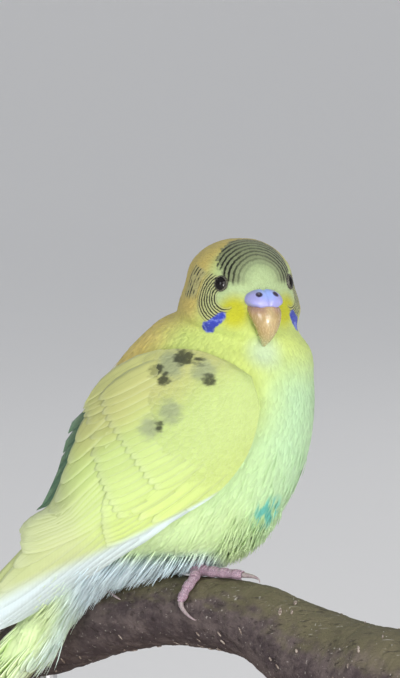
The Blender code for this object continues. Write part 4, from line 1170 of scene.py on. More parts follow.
@dataclass
class Coat:
    """The small feathers of the trunk, neck and head."""

    skin: Skin
    source: tuple = (11.0, 0.0, 70.0)
    body_lengths: tuple = (9.0, 8.8, 8.2, 7.6, 7.0, 6.4, 5.9, 5.4, 4.9, 4.4, 3.9, 3.4)
    overlap: float = 13.0
    head_overlap: float = 9.0
    most: int = 190000
    eye_gap: float = 1.5

    def bill_distance(self, places: Array) -> Array:
        """How far places lie from the root of the bill."""
        return np.linalg.norm(places - self.skin.body.head(*self.source), axis=-1)

    def flow(self, places: Array, at: Array) -> Array:
        """The way the feathers lie: back from the bill on the head, and tailwards on the trunk."""
        upward = frames(curve(self.skin.table, at))[3]
        away = places - self.skin.body.head(*self.source)
        reach = np.linalg.norm(away, axis=-1, keepdims=True)
        droop = ease(7.0, 28.0, reach) * 1.9
        head = unit(away / reach + np.array([0.0, 0.0, -1.0]) * droop)
        share = ease(9.0, 11.6, at)[:, None]
        return unit(-upward * (1 - share) + head * share)

    def lengths(self, places: Array, at: Array) -> Array:
        """How long the feathers are."""
        table = np.array(self.body_lengths)[:, None]
        trunk = curve(table, np.minimum(at, len(table) - 1.0))[..., 0]
        head = np.clip(0.85 + 0.085 * self.bill_distance(places), 1.25, 3.6)
        share = ease(9.0, 11.4, at)
        whole = trunk * (1 - share) + head * share
        for side in Side:
            middle, _ = EYES.seat(self.skin.table, self.skin.body, side)
            gap = np.linalg.norm(places - middle, axis=1) - self.eye_gap
            whole = np.minimum(whole, 0.6 + 0.75 * np.maximum(gap, 0.0))
        return whole

    def clear(self, places: Array) -> Array:
        """Which places are free of the bill, the eyes and the middle of the wings."""
        body = self.skin.body
        free = np.ones(len(places), bool)
        away = places - body.head(0.0, 0.0, 0.0)
        c, s = math.cos(body.yaw), math.sin(body.yaw)
        forward = -s * away[:, 0] + c * away[:, 1]
        side = c * away[:, 0] + s * away[:, 1]
        up = places[:, 2]
        free &= ~((forward > 8.0) & (np.abs(side) < 4.3) & (up > 69.0) & (up < 73.4))
        free &= ~((forward > 8.0) & (np.abs(side) < 4.0) & (up > 62.0) & (up < 70.0))
        for eye in Side:
            middle, _ = EYES.seat(self.skin.table, body, eye)
            free &= np.linalg.norm(places - middle, axis=1) > self.eye_gap
        outline = np.array(WINGS.outline())
        middle = outline.mean(0)
        inner = middle + (outline - middle) * 0.84
        flank = inside(inner, places[:, 1:]) & (np.abs(places[:, 0]) > 8.0)
        return free & ~flank

    def roots(self, number: int, low: float, high: float, layers: float, seed: int,
              keep=None) -> tuple[Array, Array, Array]:
        """Places for feathers between two sections, with their sections and lengths."""
        ground = self.skin.ground
        middles = ground.points[ground.triangles].mean(1)
        at, _ = locate(self.skin.table, middles)
        length = self.lengths(middles, at)
        weight = np.where((at >= max(low, 0.02)) & (at < high), 1.0 / length ** 2, 0.0)
        if keep is not None:
            weight = weight * keep(middles, at)
        places = ground.scatter(number, weight, seed)
        places = places[self.clear(places)]
        at, _ = locate(self.skin.table, places)
        length = self.lengths(places, at)
        flow = self.flow(places, at)
        for eye in Side:
            middle, _ = EYES.seat(self.skin.table, self.skin.body, eye)
            reach = np.linalg.norm(places + flow * length[:, None] - middle, axis=1)
            places, at, length, flow = (part[reach > 1.36] for part in (places, at, length, flow))
        kept = spaced(places, 0.75 * length * math.sqrt(0.55 / layers))
        return places[kept], at[kept], length[kept]

    def lay(self, name: str, vane: Vane, number: int, low: float, high: float, layers: float,
            share: float, seed: int) -> list[bpy.types.Object]:
        """The coat between two sections, in pieces that aren't too large."""
        random = np.random.default_rng(seed)
        places, at, length = self.roots(number, low, high, layers, seed)
        count = len(places)
        flow = self.flow(places, at)
        flow = unit(flow + random.normal(0.0, 0.07, (count, 3)))
        width = length * share * random.uniform(0.85, 1.15, count)
        length = length * random.uniform(0.8, 1.2, count)
        inset = self.skin.inset(at)
        tip = inset * random.uniform(0.84, 1.02, count)
        roll = random.normal(0.0, 0.035, count)
        tone = random.random(count)
        each = (len(vane.along) * 2 - 1) * (len(vane.across) - 1) * 2
        parts = math.ceil(count * each / self.most)
        made = []
        for part, chosen in enumerate(np.array_split(np.arange(count), parts)):
            shape = Shape(0.75)
            vane.lie(shape, self.skin.ground, places[chosen], flow[chosen], length[chosen],
                     width[chosen], np.full(len(chosen), -0.1), tip[chosen], roll[chosen],
                     tone[chosen], self.patches(places[chosen]), np.array([PATCH, PATCH]))
            made.append(shape.piece(f"{name}_{part + 1}", mapped=True))
        return made

    def patches(self, places: Array) -> Array:
        """The middles of the feathers' patches, on the skin's own map."""
        spots = self.skin.unwrap(places)
        spots[:, 0] = 0.01 + spots[:, 0] * 0.94
        return np.clip(spots, 0.004, 0.996)

    def wisps(self, name: str, number: int, seed: int) -> bpy.types.Object:
        """Thin loose tips along the belly and vent, which hang a little clear of the coat."""
        random = np.random.default_rng(seed)

        def belly(middles: Array, at: Array) -> Array:
            """More of them low on the body."""
            return ease(26.0, 6.0, middles[:, 2]) * ease(-0.5, 1.5, at) + 0.02

        places, at, length = self.roots(number, 0.0, 7.5, 5.0, seed, belly)
        wing = inside(np.array(WINGS.outline()), places[:, 1:]) & (np.abs(places[:, 0]) > 5.0)
        places, at, length = places[~wing], at[~wing], length[~wing]
        count = len(places)
        low = ease(24.0, 4.0, places[:, 2])
        flow = self.flow(places, at)
        flow = unit(flow + random.normal(0.0, 0.16, (count, 3)) + low[:, None] * [0.0, 0.0, -0.25])
        shape = Shape(0.8)
        WISP.lie(shape, self.skin.ground, places, flow, length * random.uniform(0.8, 1.25, count),
                 random.uniform(0.45, 0.95, count), np.full(count, 0.1),
                 random.uniform(0.55, 0.95, count), random.normal(0.0, 0.05, count),
                 random.random(count), self.patches(places), np.array([PATCH, PATCH]))
        return shape.piece(name, mapped=True)

    def fringe(self, name: str, number: int, perch: "Perch", seed: int) -> bpy.types.Object:
        """Long loose down that hangs from the belly and vent on to the branch."""
        random = np.random.default_rng(seed)
        ground = self.skin.ground
        middles = ground.points[ground.triangles].mean(1)
        out = ground.normals[ground.triangles].mean(1)
        front = ease(5.0, 12.0, middles[:, 1])
        weight = (ease(9.0, 2.0, middles[:, 2] - 11.0 * front) * (1.0 - 0.3 * front)
                  * ease(-40.0, -30.0, middles[:, 1]) * ease(0.1 + 0.3 * front, -0.5, out[:, 2]))
        roots, normal = ground.snap(ground.scatter(number, weight, seed))
        fore = ease(-12.0, 6.0, roots[:, 1])[:, None]
        length = random.uniform(4.5, 9.5, number)[:, None] * (1.0 - 0.5 * fore)
        way = np.array([0.0, -0.8, -1.0]) + fore * [0.0, 0.25, 0.0] + normal * (0.3 + 0.12 * fore)
        way = unit(way + random.normal(0.0, 0.13, (number, 3)))
        side = unit(np.cross(way, normal + random.normal(0.0, 0.5, (number, 3))))
        face = np.cross(side, way)
        t = np.array(WISP.along)
        path = roots[:, None] + way[:, None] * (length[:, None] * t[None, :, None])
        path = path + np.array([0.0, -0.5, -0.35]) * (t ** 2)[None, :, None] * length[:, None] * 0.35
        half = random.uniform(0.12, 0.34, number)[:, None] * np.array(WISP.widths)[None]
        base = path[:, :, None] + side[:, None, None] * (
            half[..., None] * np.array(WISP.across)[None, None])[..., None]
        base = perch.outside(base, 0.3)
        lifts = np.broadcast_to(face[:, None, None], base.shape)
        top, thick = WISP.heights(half, np.zeros(number), np.zeros(number), np.zeros(number))
        shape = Shape(0.7)
        WISP.sweep(shape, base, lifts, top, thick, random.random(number), self.patches(roots),
                   np.array([PATCH, PATCH]))
        shape.outs[-1] = np.repeat(normal, len(shape.points[-1]) // number, axis=0)
        return shape.piece(name, mapped=True)


# The eyes, bill and cere


@dataclass(frozen=True)
class Eyes:
    """The eyes and the bare rings of skin round them."""

    radius: float = 2.0
    up: float = 75.6
    angle: float = math.radians(47.0)
    sunk: float = 1.3
    lid_profile: tuple = ((1.3, 0.2), (1.33, 0.3), (1.39, 0.34), (1.46, 0.3), (1.54, 0.16), (1.7, -0.3),
                          (1.52, -0.6), (1.32, -0.3))
    tall: float = 1.25

    def seat(self, table: Array, body: Body, side: Side) -> tuple[Array, Array]:
        """The place on the head's surface where an eye sits, and the way it looks."""
        def on_head(angle: float, up: float) -> Array:
            low, high = body.head_from - 1.0, len(table) - 1.0
            for _ in range(30):
                middle = (low + high) / 2
                if ring_points(table, np.array(middle), np.array(angle))[2] < up:
                    low = middle
                else:
                    high = middle
            return ring_points(table, np.array(low), np.array(angle))

        spot = on_head(self.angle * side.value, self.up)
        near = on_head((self.angle + 0.06) * side.value, self.up)
        above = on_head(self.angle * side.value, self.up + 1.0)
        out = unit(np.cross(near - spot, above - spot))
        if out @ (spot - body.head(0.0, 0.0, self.up)) < 0:
            out = -out
        return spot, out

    def axes(self, out: Array) -> tuple[Array, Array]:
        """Two directions across the way an eye looks: sideways and upwards."""
        side = unit(np.cross([0.0, 0.0, 1.0], out))
        return side, np.cross(out, side)

    def ball(self, table: Array, body: Body, side: Side) -> bpy.types.Object:
        """A glossy eyeball with a slight bulge of cornea."""
        spot, out = self.seat(table, body, side)
        middle = spot - out * self.sunk
        across, upward = self.axes(out)
        tilt = np.linspace(0.0, math.pi, 28)[:, None]
        turn = np.linspace(0.0, 2 * math.pi, 40, endpoint=False)[None]
        bulge = 1.0 + 0.035 * np.exp(-((tilt / 0.55) ** 2)) + turn * 0.0
        radius = self.radius * bulge
        places = middle + (
            out * (np.cos(tilt) * radius)[..., None]
            + across * (np.sin(tilt) * np.cos(turn) * radius)[..., None]
            + upward * (np.sin(tilt) * np.sin(turn) * radius * self.tall)[..., None]
        )
        shape = Shape()
        index = np.arange(28 * 40).reshape(28, 40)[1:-1]
        after = np.roll(index, -1, axis=1)
        quads = np.stack([index[:-1], after[:-1], after[1:], index[1:]], -1).reshape(-1, 4)
        first = np.stack([np.zeros(40, int), after[0], index[0]], -1)
        last = np.stack([np.full(40, 27 * 40), index[-1], after[-1]], -1)
        shape.add(places.reshape(-1, 3), [quads, first, last])
        item = shape.piece(f"budgie_eye_{side.name.lower()}")
        work = bmesh.new()
        work.from_mesh(item.data)
        loose = [vert for vert in work.verts if not vert.link_faces]
        bmesh.ops.delete(work, geom=loose, context="VERTS")
        work.to_mesh(item.data)
        work.free()
        return item

    def lids(self, table: Array, body: Body, side: Side) -> bpy.types.Object:
        """The lids: a ring of bare skin with a beaded rim, drawn out to a point behind and before."""
        spot, out = self.seat(table, body, side)
        across, upward = self.axes(out)
        turn = np.linspace(0.0, 2 * math.pi, 96, endpoint=False)[:, None]
        profile = curve(np.array(self.lid_profile + self.lid_profile[:1]), np.linspace(0.0, 8.0, 33)[:-1])
        reach, height = profile[None, :, 0], profile[None, :, 1]
        rim = np.exp(-(((reach - 1.38) / 0.08) ** 2)) * (height > 0.3)
        height = height + 0.05 * rim * np.abs(np.sin(turn * 14.0))
        corner = 1.0 + 0.07 * np.abs(np.cos(turn)) ** 6
        folds = 0.04 * np.sin(reach * 16.0) * (height > -0.2) * ease(1.4, 1.55, reach)
        places = spot + (
            across * (reach * corner * np.cos(turn))[..., None]
            + upward * (reach * self.tall * np.sin(turn))[..., None]
            + out * (height + folds + 0.0 * turn)[..., None]
        )
        shape = Shape()
        shape.grid(np.concatenate([places, places[:1]], 0), closed=True)
        item = shape.piece(f"budgie_lids_{side.name.lower()}")
        work = bmesh.new()
        work.from_mesh(item.data)
        bmesh.ops.remove_doubles(work, verts=work.verts, dist=1e-7)
        work.to_mesh(item.data)
        work.free()
        return item


EYES = Eyes()


@dataclass(frozen=True)
class EyeFinish:
    """A dark, wet eye."""

    black: Colour = (0.004, 0.003, 0.003)
    brown: Colour = (0.035, 0.018, 0.01)

    def material(self, seats: list[Array]) -> bpy.types.Material:
        """A black pupil with a narrow brown rim, under a clear coat."""
        paint = Paint("budgie_eye", 0.06, Coat_Weight=0.05, Coat_Roughness=0.02, Specular_IOR_Level=0.22)
        reach = None
        for seat in seats:
            part = paint.vector("DISTANCE", paint.inner, tuple(float(v) for v in seat))
            reach = part if reach is None else reach.math("MINIMUM", part)
        rays = paint.noise(0.35, 2.0) * 0.6 + 0.6
        brown = paint.scaled(paint.mix(self.brown, self.brown, reach), rays)
        return paint.finish(paint.mix(self.black, brown, reach.ease(1.9, 2.2)))


@dataclass(frozen=True)
class LidFinish:
    """Bare grey skin round the eye."""

    light: Colour = (0.12, 0.115, 0.085)
    dark: Colour = (0.02, 0.019, 0.015)

    def material(self) -> bpy.types.Material:
        """Finely wrinkled grey skin."""
        paint = Paint("budgie_lids", 0.55, Specular_IOR_Level=0.4)
        grain = paint.noise(0.25, 2.0)
        paint.bump(grain, 0.06, 0.6)
        return paint.finish(paint.mix(self.dark, self.light, grain.ease(0.35, 0.65)))


@dataclass
class Bill:
    """The hooked upper bill, the short lower one and the cere."""

    body: Body
    ridge: tuple = ((14.2, 71.6), (16.9, 69.8), (18.1, 67.0), (17.7, 64.0), (16.0, 61.4), (13.6, 59.7))
    edge: tuple = ((10.0, 68.0), (11.4, 66.2), (12.4, 64.8), (13.0, 63.3), (13.1, 61.6), (12.9, 59.9))
    half_width: tuple = (4.2, 4.25, 3.6, 2.65, 1.5, 0.42)
    lower_line: tuple = ((8.2, 65.0), (10.6, 63.7), (12.6, 62.1))
    lower_width: tuple = (3.0, 3.3, 2.0)
    lower_depth: tuple = (1.8, 1.8, 1.0)
    cere_line: tuple = ((9.8, 71.2), (12.6, 71.6), (15.4, 70.8), (16.6, 69.8))
    cere_width: tuple = (4.4, 5.0, 4.3, 2.9)
    cere_depth: tuple = (2.3, 2.7, 1.8, 0.7)
    nostril: tuple = (15.4, 2.3, 72.9)
    nostril_radius: float = 0.5

    def upper(self) -> bpy.types.Object:
        """The upper bill, with fine growth rings and a rounded ridge."""
        steps, sides = 60, 48
        at = np.linspace(0.0, len(self.ridge) - 1.0, steps)
        ridge, edge = curve(np.array(self.ridge), at), curve(np.array(self.edge), at)
        half = curve(np.array(self.half_width)[:, None], at)
        angle = np.linspace(0.0, 2 * math.pi, sides, endpoint=False)[None]
        middle = ((ridge + edge) / 2)[:, None]
        line = unit(ridge - edge)[:, None]
        depth = (np.linalg.norm(ridge - edge, axis=1) / 2)[:, None]
        growth = 1.0 - 0.006 * (0.5 + 0.5 * np.sin(at * 21.0))[:, None]
        flat = middle + line * (np.cos(angle) * depth * growth)[..., None]
        side = np.sin(angle) * half * growth * (1.0 - 0.1 * np.maximum(-np.cos(angle), 0.0))
        places = self.body.head(flat[..., 0], side, flat[..., 1])
        shape = Shape()
        shape.grid(places, closed=True, caps=True)
        return shape.piece("budgie_bill_upper")

    def bar(self, line: tuple, widths: tuple, depths: tuple, sides: int,
            steps: int) -> tuple[Array, Array, Array]:
        """Rings of a rounded bar across a line in the head's middle plane, and its own grid."""
        at = np.linspace(0.0, len(line) - 1.0, steps)
        middle = curve(np.array(line), at)
        before = curve(np.array(line), np.maximum(at - 0.1, 0.0))
        after = curve(np.array(line), np.minimum(at + 0.1, len(line) - 1.0))
        along = unit(after - before)
        across = np.stack([-along[:, 1], along[:, 0]], -1)
        half = curve(np.array(widths)[:, None], at)
        depth = curve(np.array(depths)[:, None], at)
        angle = np.linspace(0.0, 2 * math.pi, sides, endpoint=False)[None]
        flat = middle[:, None] + across[:, None] * (np.cos(angle) * depth)[..., None]
        side = np.sin(angle) * half
        return np.concatenate([flat[..., :1], side[..., None], flat[..., 1:]], -1), at, angle

    def lower(self) -> bpy.types.Object:
        """The lower bill, which only just shows behind the upper one."""
        grid, _, _ = self.bar(self.lower_line, self.lower_width, self.lower_depth, 32, 24)
        shape = Shape()
        shape.grid(self.body.head(grid[..., 0], grid[..., 1] * 0.93, grid[..., 2]), True, True)
        return shape.piece("budgie_bill_lower")

    def cere(self) -> bpy.types.Object:
        """The cere: two swollen lobes with a groove between them and a nostril in each."""
        grid, at, angle = self.bar(self.cere_line, self.cere_width, self.cere_depth, 96, 70)
        middle = grid.mean(1, keepdims=True)
        out = unit(grid - middle)
        nostril = np.array(self.nostril)
        mirrored = grid * [1.0, 1.0, 1.0]
        mirrored[..., 1] = np.abs(mirrored[..., 1])
        reach = np.linalg.norm(mirrored - nostril, axis=-1)
        lobe = 0.26 * np.exp(-((reach / 1.9) ** 2))
        groove = -0.36 * np.exp(-((grid[..., 1] / 0.55) ** 2)) * ease(0.2, 0.8, np.cos(angle))
        rim = 0.12 * np.exp(-(((reach - 0.8) / 0.28) ** 2))
        hole = -1.3 * ease(self.nostril_radius + 0.16, self.nostril_radius - 0.22, reach)
        lift = (lobe + groove + rim + hole) * ease(0.0, 0.5, np.cos(angle) + 0.4)
        ends = np.sin(np.pi * np.clip(at / at[-1], 0.0, 1.0))[:, None] ** 0.18
        grid = middle + (grid - middle) * (0.55 + 0.45 * ends)[..., None] + out * lift[..., None]
        shape = Shape()
        shape.grid(self.body.head(grid[..., 0], grid[..., 1], grid[..., 2]), True, True)
        return shape.piece("budgie_cere")

    def bristles(self) -> bpy.types.Object:
        """Short dark bristles over the top edge of the cere."""
        random = np.random.default_rng(SEED)
        shape = Shape()
        for side in np.linspace(-3.6, 3.6, 15):
            start = np.array([12.9 - 0.09 * side * side + random.normal(0.0, 0.15), side,
                              74.2 - 0.07 * side * side])
            lean = np.array([0.75, side * 0.06 + random.normal(0.0, 0.18), 0.9])
            length = random.uniform(0.8, 1.5)
            t = np.linspace(0.0, 1.0, 5)[:, None]
            path = start + unit(lean) * t * length + np.array([0.35, 0.0, -0.3]) * t * t
            turn = np.linspace(0.0, 2 * math.pi, 5, endpoint=False)
            ring = np.stack([np.cos(turn), np.sin(turn), 0.0 * turn], -1)
            tube = path[:, None] + ring[None] * (0.045 * (1.0 - 0.8 * t))[..., None]
            shape.grid(self.body.head(tube[..., 0], tube[..., 1], tube[..., 2]), True, True)
        return shape.piece("budgie_bristles")


@dataclass(frozen=True)
class BillFinish:
    """Orange-tan horn that grows paler and greener towards its tip."""

    root: Colour = (0.32, 0.20, 0.15)
    middle: Colour = (0.40, 0.285, 0.13)
    # Painted highlight: the paler horn down the middle of the ridge.
    ridge: Colour = (0.46, 0.35, 0.17)
    tip: Colour = (0.40, 0.38, 0.21)
    edge: Colour = (0.16, 0.11, 0.06)

    def material(self, marks: Markings, body: Body) -> bpy.types.Material:
        """Glossy layered horn, with a painted highlight down the middle of the ridge."""
        paint = Paint("budgie_bill", 0.28, Coat_Weight=0.5, Coat_Roughness=0.12, Specular_IOR_Level=0.5)
        paint.soften(0.25, 1.0, (1.0, 0.5, 0.25))
        forward, side, up = paint.split(marks.head_places(paint, body))
        colour = paint.mix(self.middle, self.root, up.ease(67.0, 70.0))
        colour = paint.mix(colour, self.tip, up.ease(64.0, 60.0))
        # Paler down the middle of the bill: painted highlight of its gloss.
        colour = paint.mix(colour, self.ridge, side.ease(2.2, 0.2) * up.ease(59.5, 63.0) * 0.8)
        colour = paint.mix(colour, self.edge, forward.ease(13.5, 12.7) * up.ease(66.5, 64.5) * 0.6)
        layers = paint.noise(0.5, 2.0, (1.0, 1.0, 0.4)) + up.wave(0.62) * 0.12
        flaws = paint.noise(0.8, 3.0, (0.5, 0.5, 2.0)).ease(0.4, 0.75)
        paint.bump(layers, 0.05, 0.35)
        return paint.finish(paint.scaled(colour, flaws * 0.16 + 0.9), flaws * 0.14 + 0.22)


@dataclass(frozen=True)
class CereFinish:
    """Waxy lavender skin, bluer between the nostrils."""

    violet: Colour = (0.31, 0.305, 0.58)
    blue: Colour = (0.29, 0.39, 0.78)
    # Painted shade inside the nostrils.
    nostril_shade: Colour = (0.03, 0.02, 0.05)

    def material(self, marks: Markings, body: Body, bill: Bill) -> bpy.types.Material:
        """Smooth waxy skin with fine pores, and painted shade in the nostrils."""
        paint = Paint("budgie_cere", 0.42, Coat_Weight=0.25, Coat_Roughness=0.25, Specular_IOR_Level=0.45)
        paint.soften(0.35, 1.0, (0.6, 0.6, 1.0))
        places = marks.head_places(paint, body)
        _, side, up = paint.split(places)
        pores = paint.noise(0.28, 3.0)
        colour = paint.mix(self.violet, self.blue, side.ease(3.4, 0.4) * up.ease(70.5, 73.0))
        # The nostrils painted near black: painted shade inside the holes.
        deep = paint.vector("DISTANCE", places, bill.nostril).ease(1.05, 0.7)
        colour = paint.mix(colour, self.nostril_shade, deep)
        paint.bump(pores + paint.noise(1.2, 1.0) * 1.5, 0.08, 0.35)
        return paint.finish(paint.scaled(colour, pores * 0.16 + 0.9))


# The wings


@dataclass(frozen=True)
class Tier:
    """A row of wing feathers between a first and a last one, as seen from the side."""

    name: str
    count: int
    width: float
    roots: tuple
    tips: tuple
    heights: tuple
    vane: Vane
    bulge: float = 0.0
    roll: float = 0.0
    bow: float = 0.0
    tone: float = 0.5


@dataclass(frozen=True)
class Wings:
    """Both folded wings, drawn as they are seen from the side and laid over the body."""

    front: tuple = (
        (15.5, 52.5), (17.2, 44.0), (14.5, 33.5), (8.0, 24.6), (0.0, 18.8), (-10.0, 12.6),
        (-20.0, 7.4), (-30.0, 0.4), (-41.0, -7.2), (-52.5, -13.2), (-64.0, -18.6),
    )
    back: tuple = (
        (11.0, 55.5), (2.0, 58.5), (-8.0, 58.0), (-18.0, 52.0), (-24.5, 44.5), (-29.5, 34.0),
        (-34.0, 23.0), (-41.5, 11.0), (-52.0, -0.5), (-59.0, -10.0), (-65.0, -17.6),
    )
    arm_thickness: tuple = (1.2, 1.8, 2.0, 1.9, 1.6, 1.2, 0.8)
    arm_reach: float = 0.54
    sheet_lift: float = 0.15
    tiers: tuple = (
        Tier("slivers", 6, 3.2, ((-20.0, 49.5), (-28.0, 29.0)), ((-33.4, 37.4), (-44.6, 14.5)),
             (0.15, 0.35), COVERT_VANE, tone=2.0),
        Tier("primaries", 9, 6.8, ((3.0, 24.4), (-4.0, 35.0)), ((-50.0, -12.4), (-46.5, 4.0)),
             (0.4, 0.7), FLIGHT_VANE, roll=0.1, bow=0.06),
        Tier("secondaries", 11, 8.2, ((-1.0, 33.0), (-12.0, 50.0)), ((-43.4, 8.2), (-40.6, 17.4)),
             (0.7, 1.3), FLIGHT_VANE, 1.5, 0.08, 0.05),
        Tier("tertials", 5, 7.6, ((-6.0, 44.0), (-13.0, 51.5)), ((-36.5, 20.0), (-29.5, 37.0)),
             (1.1, 1.7), FLIGHT_VANE, 1.0, 0.08, 0.04),
        Tier("alula", 3, 4.8, ((12.0, 32.6), (9.0, 37.0)), ((-9.0, 16.4), (-15.5, 18.6)),
             (1.0, 1.5), COVERT_VANE, roll=0.07, bow=0.08),
        Tier("primary_coverts", 9, 5.4, ((4.0, 27.5), (-3.0, 36.0)), ((-21.0, 9.8), (-22.0, 20.5)),
             (0.9, 1.3), COVERT_VANE, 0.8, 0.07, 0.05),
        Tier("greater_coverts", 15, 6.0, ((4.0, 32.0), (-10.0, 52.5)), ((-18.0, 17.5), (-26.4, 43.4)),
             (1.0, 1.75), COVERT_VANE, 1.6, 0.07, 0.04),
        Tier("median_coverts", 15, 5.4, ((9.0, 38.0), (-5.0, 55.5)), ((-8.0, 25.0), (-23.2, 47.4)),
             (1.1, 2.0), COVERT_VANE, 1.2, 0.07, 0.04),
        Tier("scapulars", 6, 5.4, ((-4.0, 51.0), (-7.0, 57.5)), ((-24.5, 42.6), (-29.6, 47.8)),
             (0.7, 1.9), COVERT_VANE, 0.5, 0.07, 0.04),
    )

    def outline(self) -> list[tuple[float, float]]:
        """The whole wing as seen from the side."""
        return list(self.front) + list(self.back[::-1])

    def on_body(self, table: Array, side_view: Array, lift: Array | float) -> Array:
        """Places over the bird's left flank for spots (ahead, up) seen from the side."""
        shape = side_view.shape[:-1]
        ahead, up = side_view[..., 0].ravel(), side_view[..., 1].ravel()
        low = np.zeros(len(ahead))
        high = np.full(len(ahead), len(table) - 1.0)
        for _ in range(24):
            middle = (low + high) / 2
            row = curve(table, middle)
            upward = frames(row)[3]
            beyond = (ahead - row[:, 1]) * upward[:, 1] + (up - row[:, 2]) * upward[:, 2] > 0
            low = np.where(beyond, middle, low)
            high = np.where(beyond, high, middle)
        row = curve(table, low)
        forward = frames(row)[1]
        along = ((ahead - row[:, 1]) * forward[:, 1] + (up - row[:, 2]) * forward[:, 2]) / row[:, 5]
        angle = np.arccos(np.clip(along, -0.95, 0.95))
        spot = ring_points(table, low, angle)
        near = ring_points(table, low, angle + 0.05)
        step = np.where(low < len(table) - 1.05, 0.05, -0.05)
        above = ring_points(table, low + step, angle)
        out = unit(np.cross(near - spot, above - spot))
        out = np.where(out[:, :1] < 0, -out, out)
        beyond = np.abs(along) > 0.95
        spot[beyond, 1:] = np.stack([ahead, up], -1)[beyond]
        places = spot + out * np.broadcast_to(lift, shape).reshape(-1, 1)
        return places.reshape(*shape, 3)

    def spread(self, first: float, last: float, rows: int, columns: int,
               margin: float) -> tuple[Array, Array, Array]:
        """Side-view spots over the wing between two places along its outlines."""
        at = np.linspace(first, last, rows)[:, None]
        b = np.linspace(-margin, 1.0 + margin, columns)[None]
        front, back = curve(np.array(self.front), at), curve(np.array(self.back), at)
        return front * (1 - b[..., None]) + back * b[..., None], at, b

    def sheet(self, table: Array, side: Side) -> Ground:
        """The surface that the flight feathers lie on, out past the wing's edges."""
        spots, _, _ = self.spread(0.0, len(self.front) - 1.0, 110, 40, 0.16)
        tail = spots[-1:] + (spots[-1:] - spots[-2:-1]) * np.arange(1, 24)[:, None, None] * 0.5
        spots = np.concatenate([spots, tail], 0)
        return self.ground(self.on_body(table, spots, self.sheet_lift), side)

    def ground(self, places: Array, side: Side) -> Ground:
        """A ground from a grid over the left flank, mirrored for the right wing."""
        rows, columns = places.shape[:2]
        places = places * [side.value, 1.0, 1.0]
        index = np.arange(rows * columns).reshape(rows, columns)
        a, b, c, d = index[:-1, :-1], index[:-1, 1:], index[1:, 1:], index[1:, :-1]
        triangles = np.concatenate([np.stack([a, b, c], -1).reshape(-1, 3),
                                    np.stack([a, c, d], -1).reshape(-1, 3)])
        return Ground(places.reshape(-1, 3), triangles, (float(side.value), 0.0, 0.0))

    def arm(self, table: Array, side: Side) -> tuple[Shape, Ground]:
        """The wing's arm, closed, and its outer face as a ground."""
        last = (len(self.front) - 1.0) * self.arm_reach
        spots, at, b = self.spread(0.0, last, 48, 26, 0.0)
        share = at / last * (len(self.arm_thickness) - 1.0)
        thick = curve(np.array(self.arm_thickness)[:, None], share[:, 0])
        thick = thick * (0.45 + 0.55 * np.sin(math.pi * np.clip(b, 0.04, 0.96))) * ease(-0.02, 0.08, at / last)
        outer = self.on_body(table, spots, thick + 0.05)
        inner = self.on_body(table, spots, -0.35)
        shape = Shape()
        mirror = [side.value, 1.0, 1.0]
        ring = np.concatenate([outer, inner[:, ::-1]], 1) * mirror
        shape.grid(ring, closed=True, caps=True)
        under, _, _ = self.spread(0.0, len(self.front) - 1.0, 90, 20, -0.03)
        faces = [self.on_body(table, under, lift) * mirror for lift in (0.3, 0.0)]
        shape.grid(np.concatenate([faces[0], faces[1][:, ::-1]], 1), closed=True, caps=True)
        return shape, self.ground(outer, side)

    def flights(self, table: Array, side: Side) -> Shape:
        """Every tier of large feathers."""
        ground = self.sheet(table, side)
        shape = Shape(0.6)
        whole = sum(tier.count for tier in self.tiers) + 2
        first = 0
        random = np.random.default_rng(SEED + side.value)
        for tier in self.tiers:
            self.row(shape, ground, table, side, tier, first, whole, random)
            first += tier.count
        return shape

    def row(self, shape: Shape, ground: Ground, table: Array, side: Side, tier: Tier, first: int,
            whole: int, random: np.random.Generator) -> None:
        """One tier: its feathers' roots, headings and heights."""
        t = np.linspace(0.0, 1.0, tier.count)[:, None]
        roots = np.array(tier.roots[0]) * (1 - t) + np.array(tier.roots[1]) * t
        tips = np.array(tier.tips[0]) * (1 - t) + np.array(tier.tips[1]) * t
        if tier.name == "primaries":
            tips = self.primary_tips(t[:, 0])
        away = tips - roots
        tips = tips + unit(away) * (tier.bulge * 4 * t * (1 - t) + random.normal(0.0, 0.25, t.shape))
        mirror = np.array([side.value, 1.0, 1.0])
        start = self.on_body(table, roots, 0.2) * mirror
        quarter = self.on_body(table, roots + (tips - roots) * 0.25, 0.2) * mirror
        steps = np.linspace(0.0, 1.0, 9)[:, None, None]
        path = self.on_body(table, roots + (tips - roots) * steps, 0.2)
        length = np.linalg.norm(np.diff(path, axis=0), axis=-1).sum(0)
        number = tier.count
        low = np.full(number, tier.heights[0]) + np.linspace(0.0, 0.25, number)
        high = np.full(number, tier.heights[1]) + np.linspace(0.0, 0.25, number)
        patches, size = feather_cells(number, first, whole)
        tier.vane.lie(shape, ground, start, quarter - start, length, np.full(number, tier.width),
                      low, high, np.full(number, tier.roll * side.value),
                      tier.tone + random.uniform(-0.5, 0.5, number), patches, size,
                      np.full(number, tier.bow * side.value))

    def primary_tips(self, t: Array) -> Array:
        """The tips of the primaries: the longest in the middle of the folded wing's point."""
        table = np.array([(-49.5, -12.3), (-57.0, -15.9), (-64.2, -18.8), (-60.7, -14.2), (-53.5, -5.2),
                          (-46.5, 4.0)])
        return curve(table, t * (len(table) - 1.0))

    def covert_size(self, spots: Array) -> Array:
        """How long the small coverts are, from the wing's front edge to the back."""
        return 6.4 - 4.3 * np.clip((spots[:, 1] + 22.0) / 38.0, 0.0, 1.0)

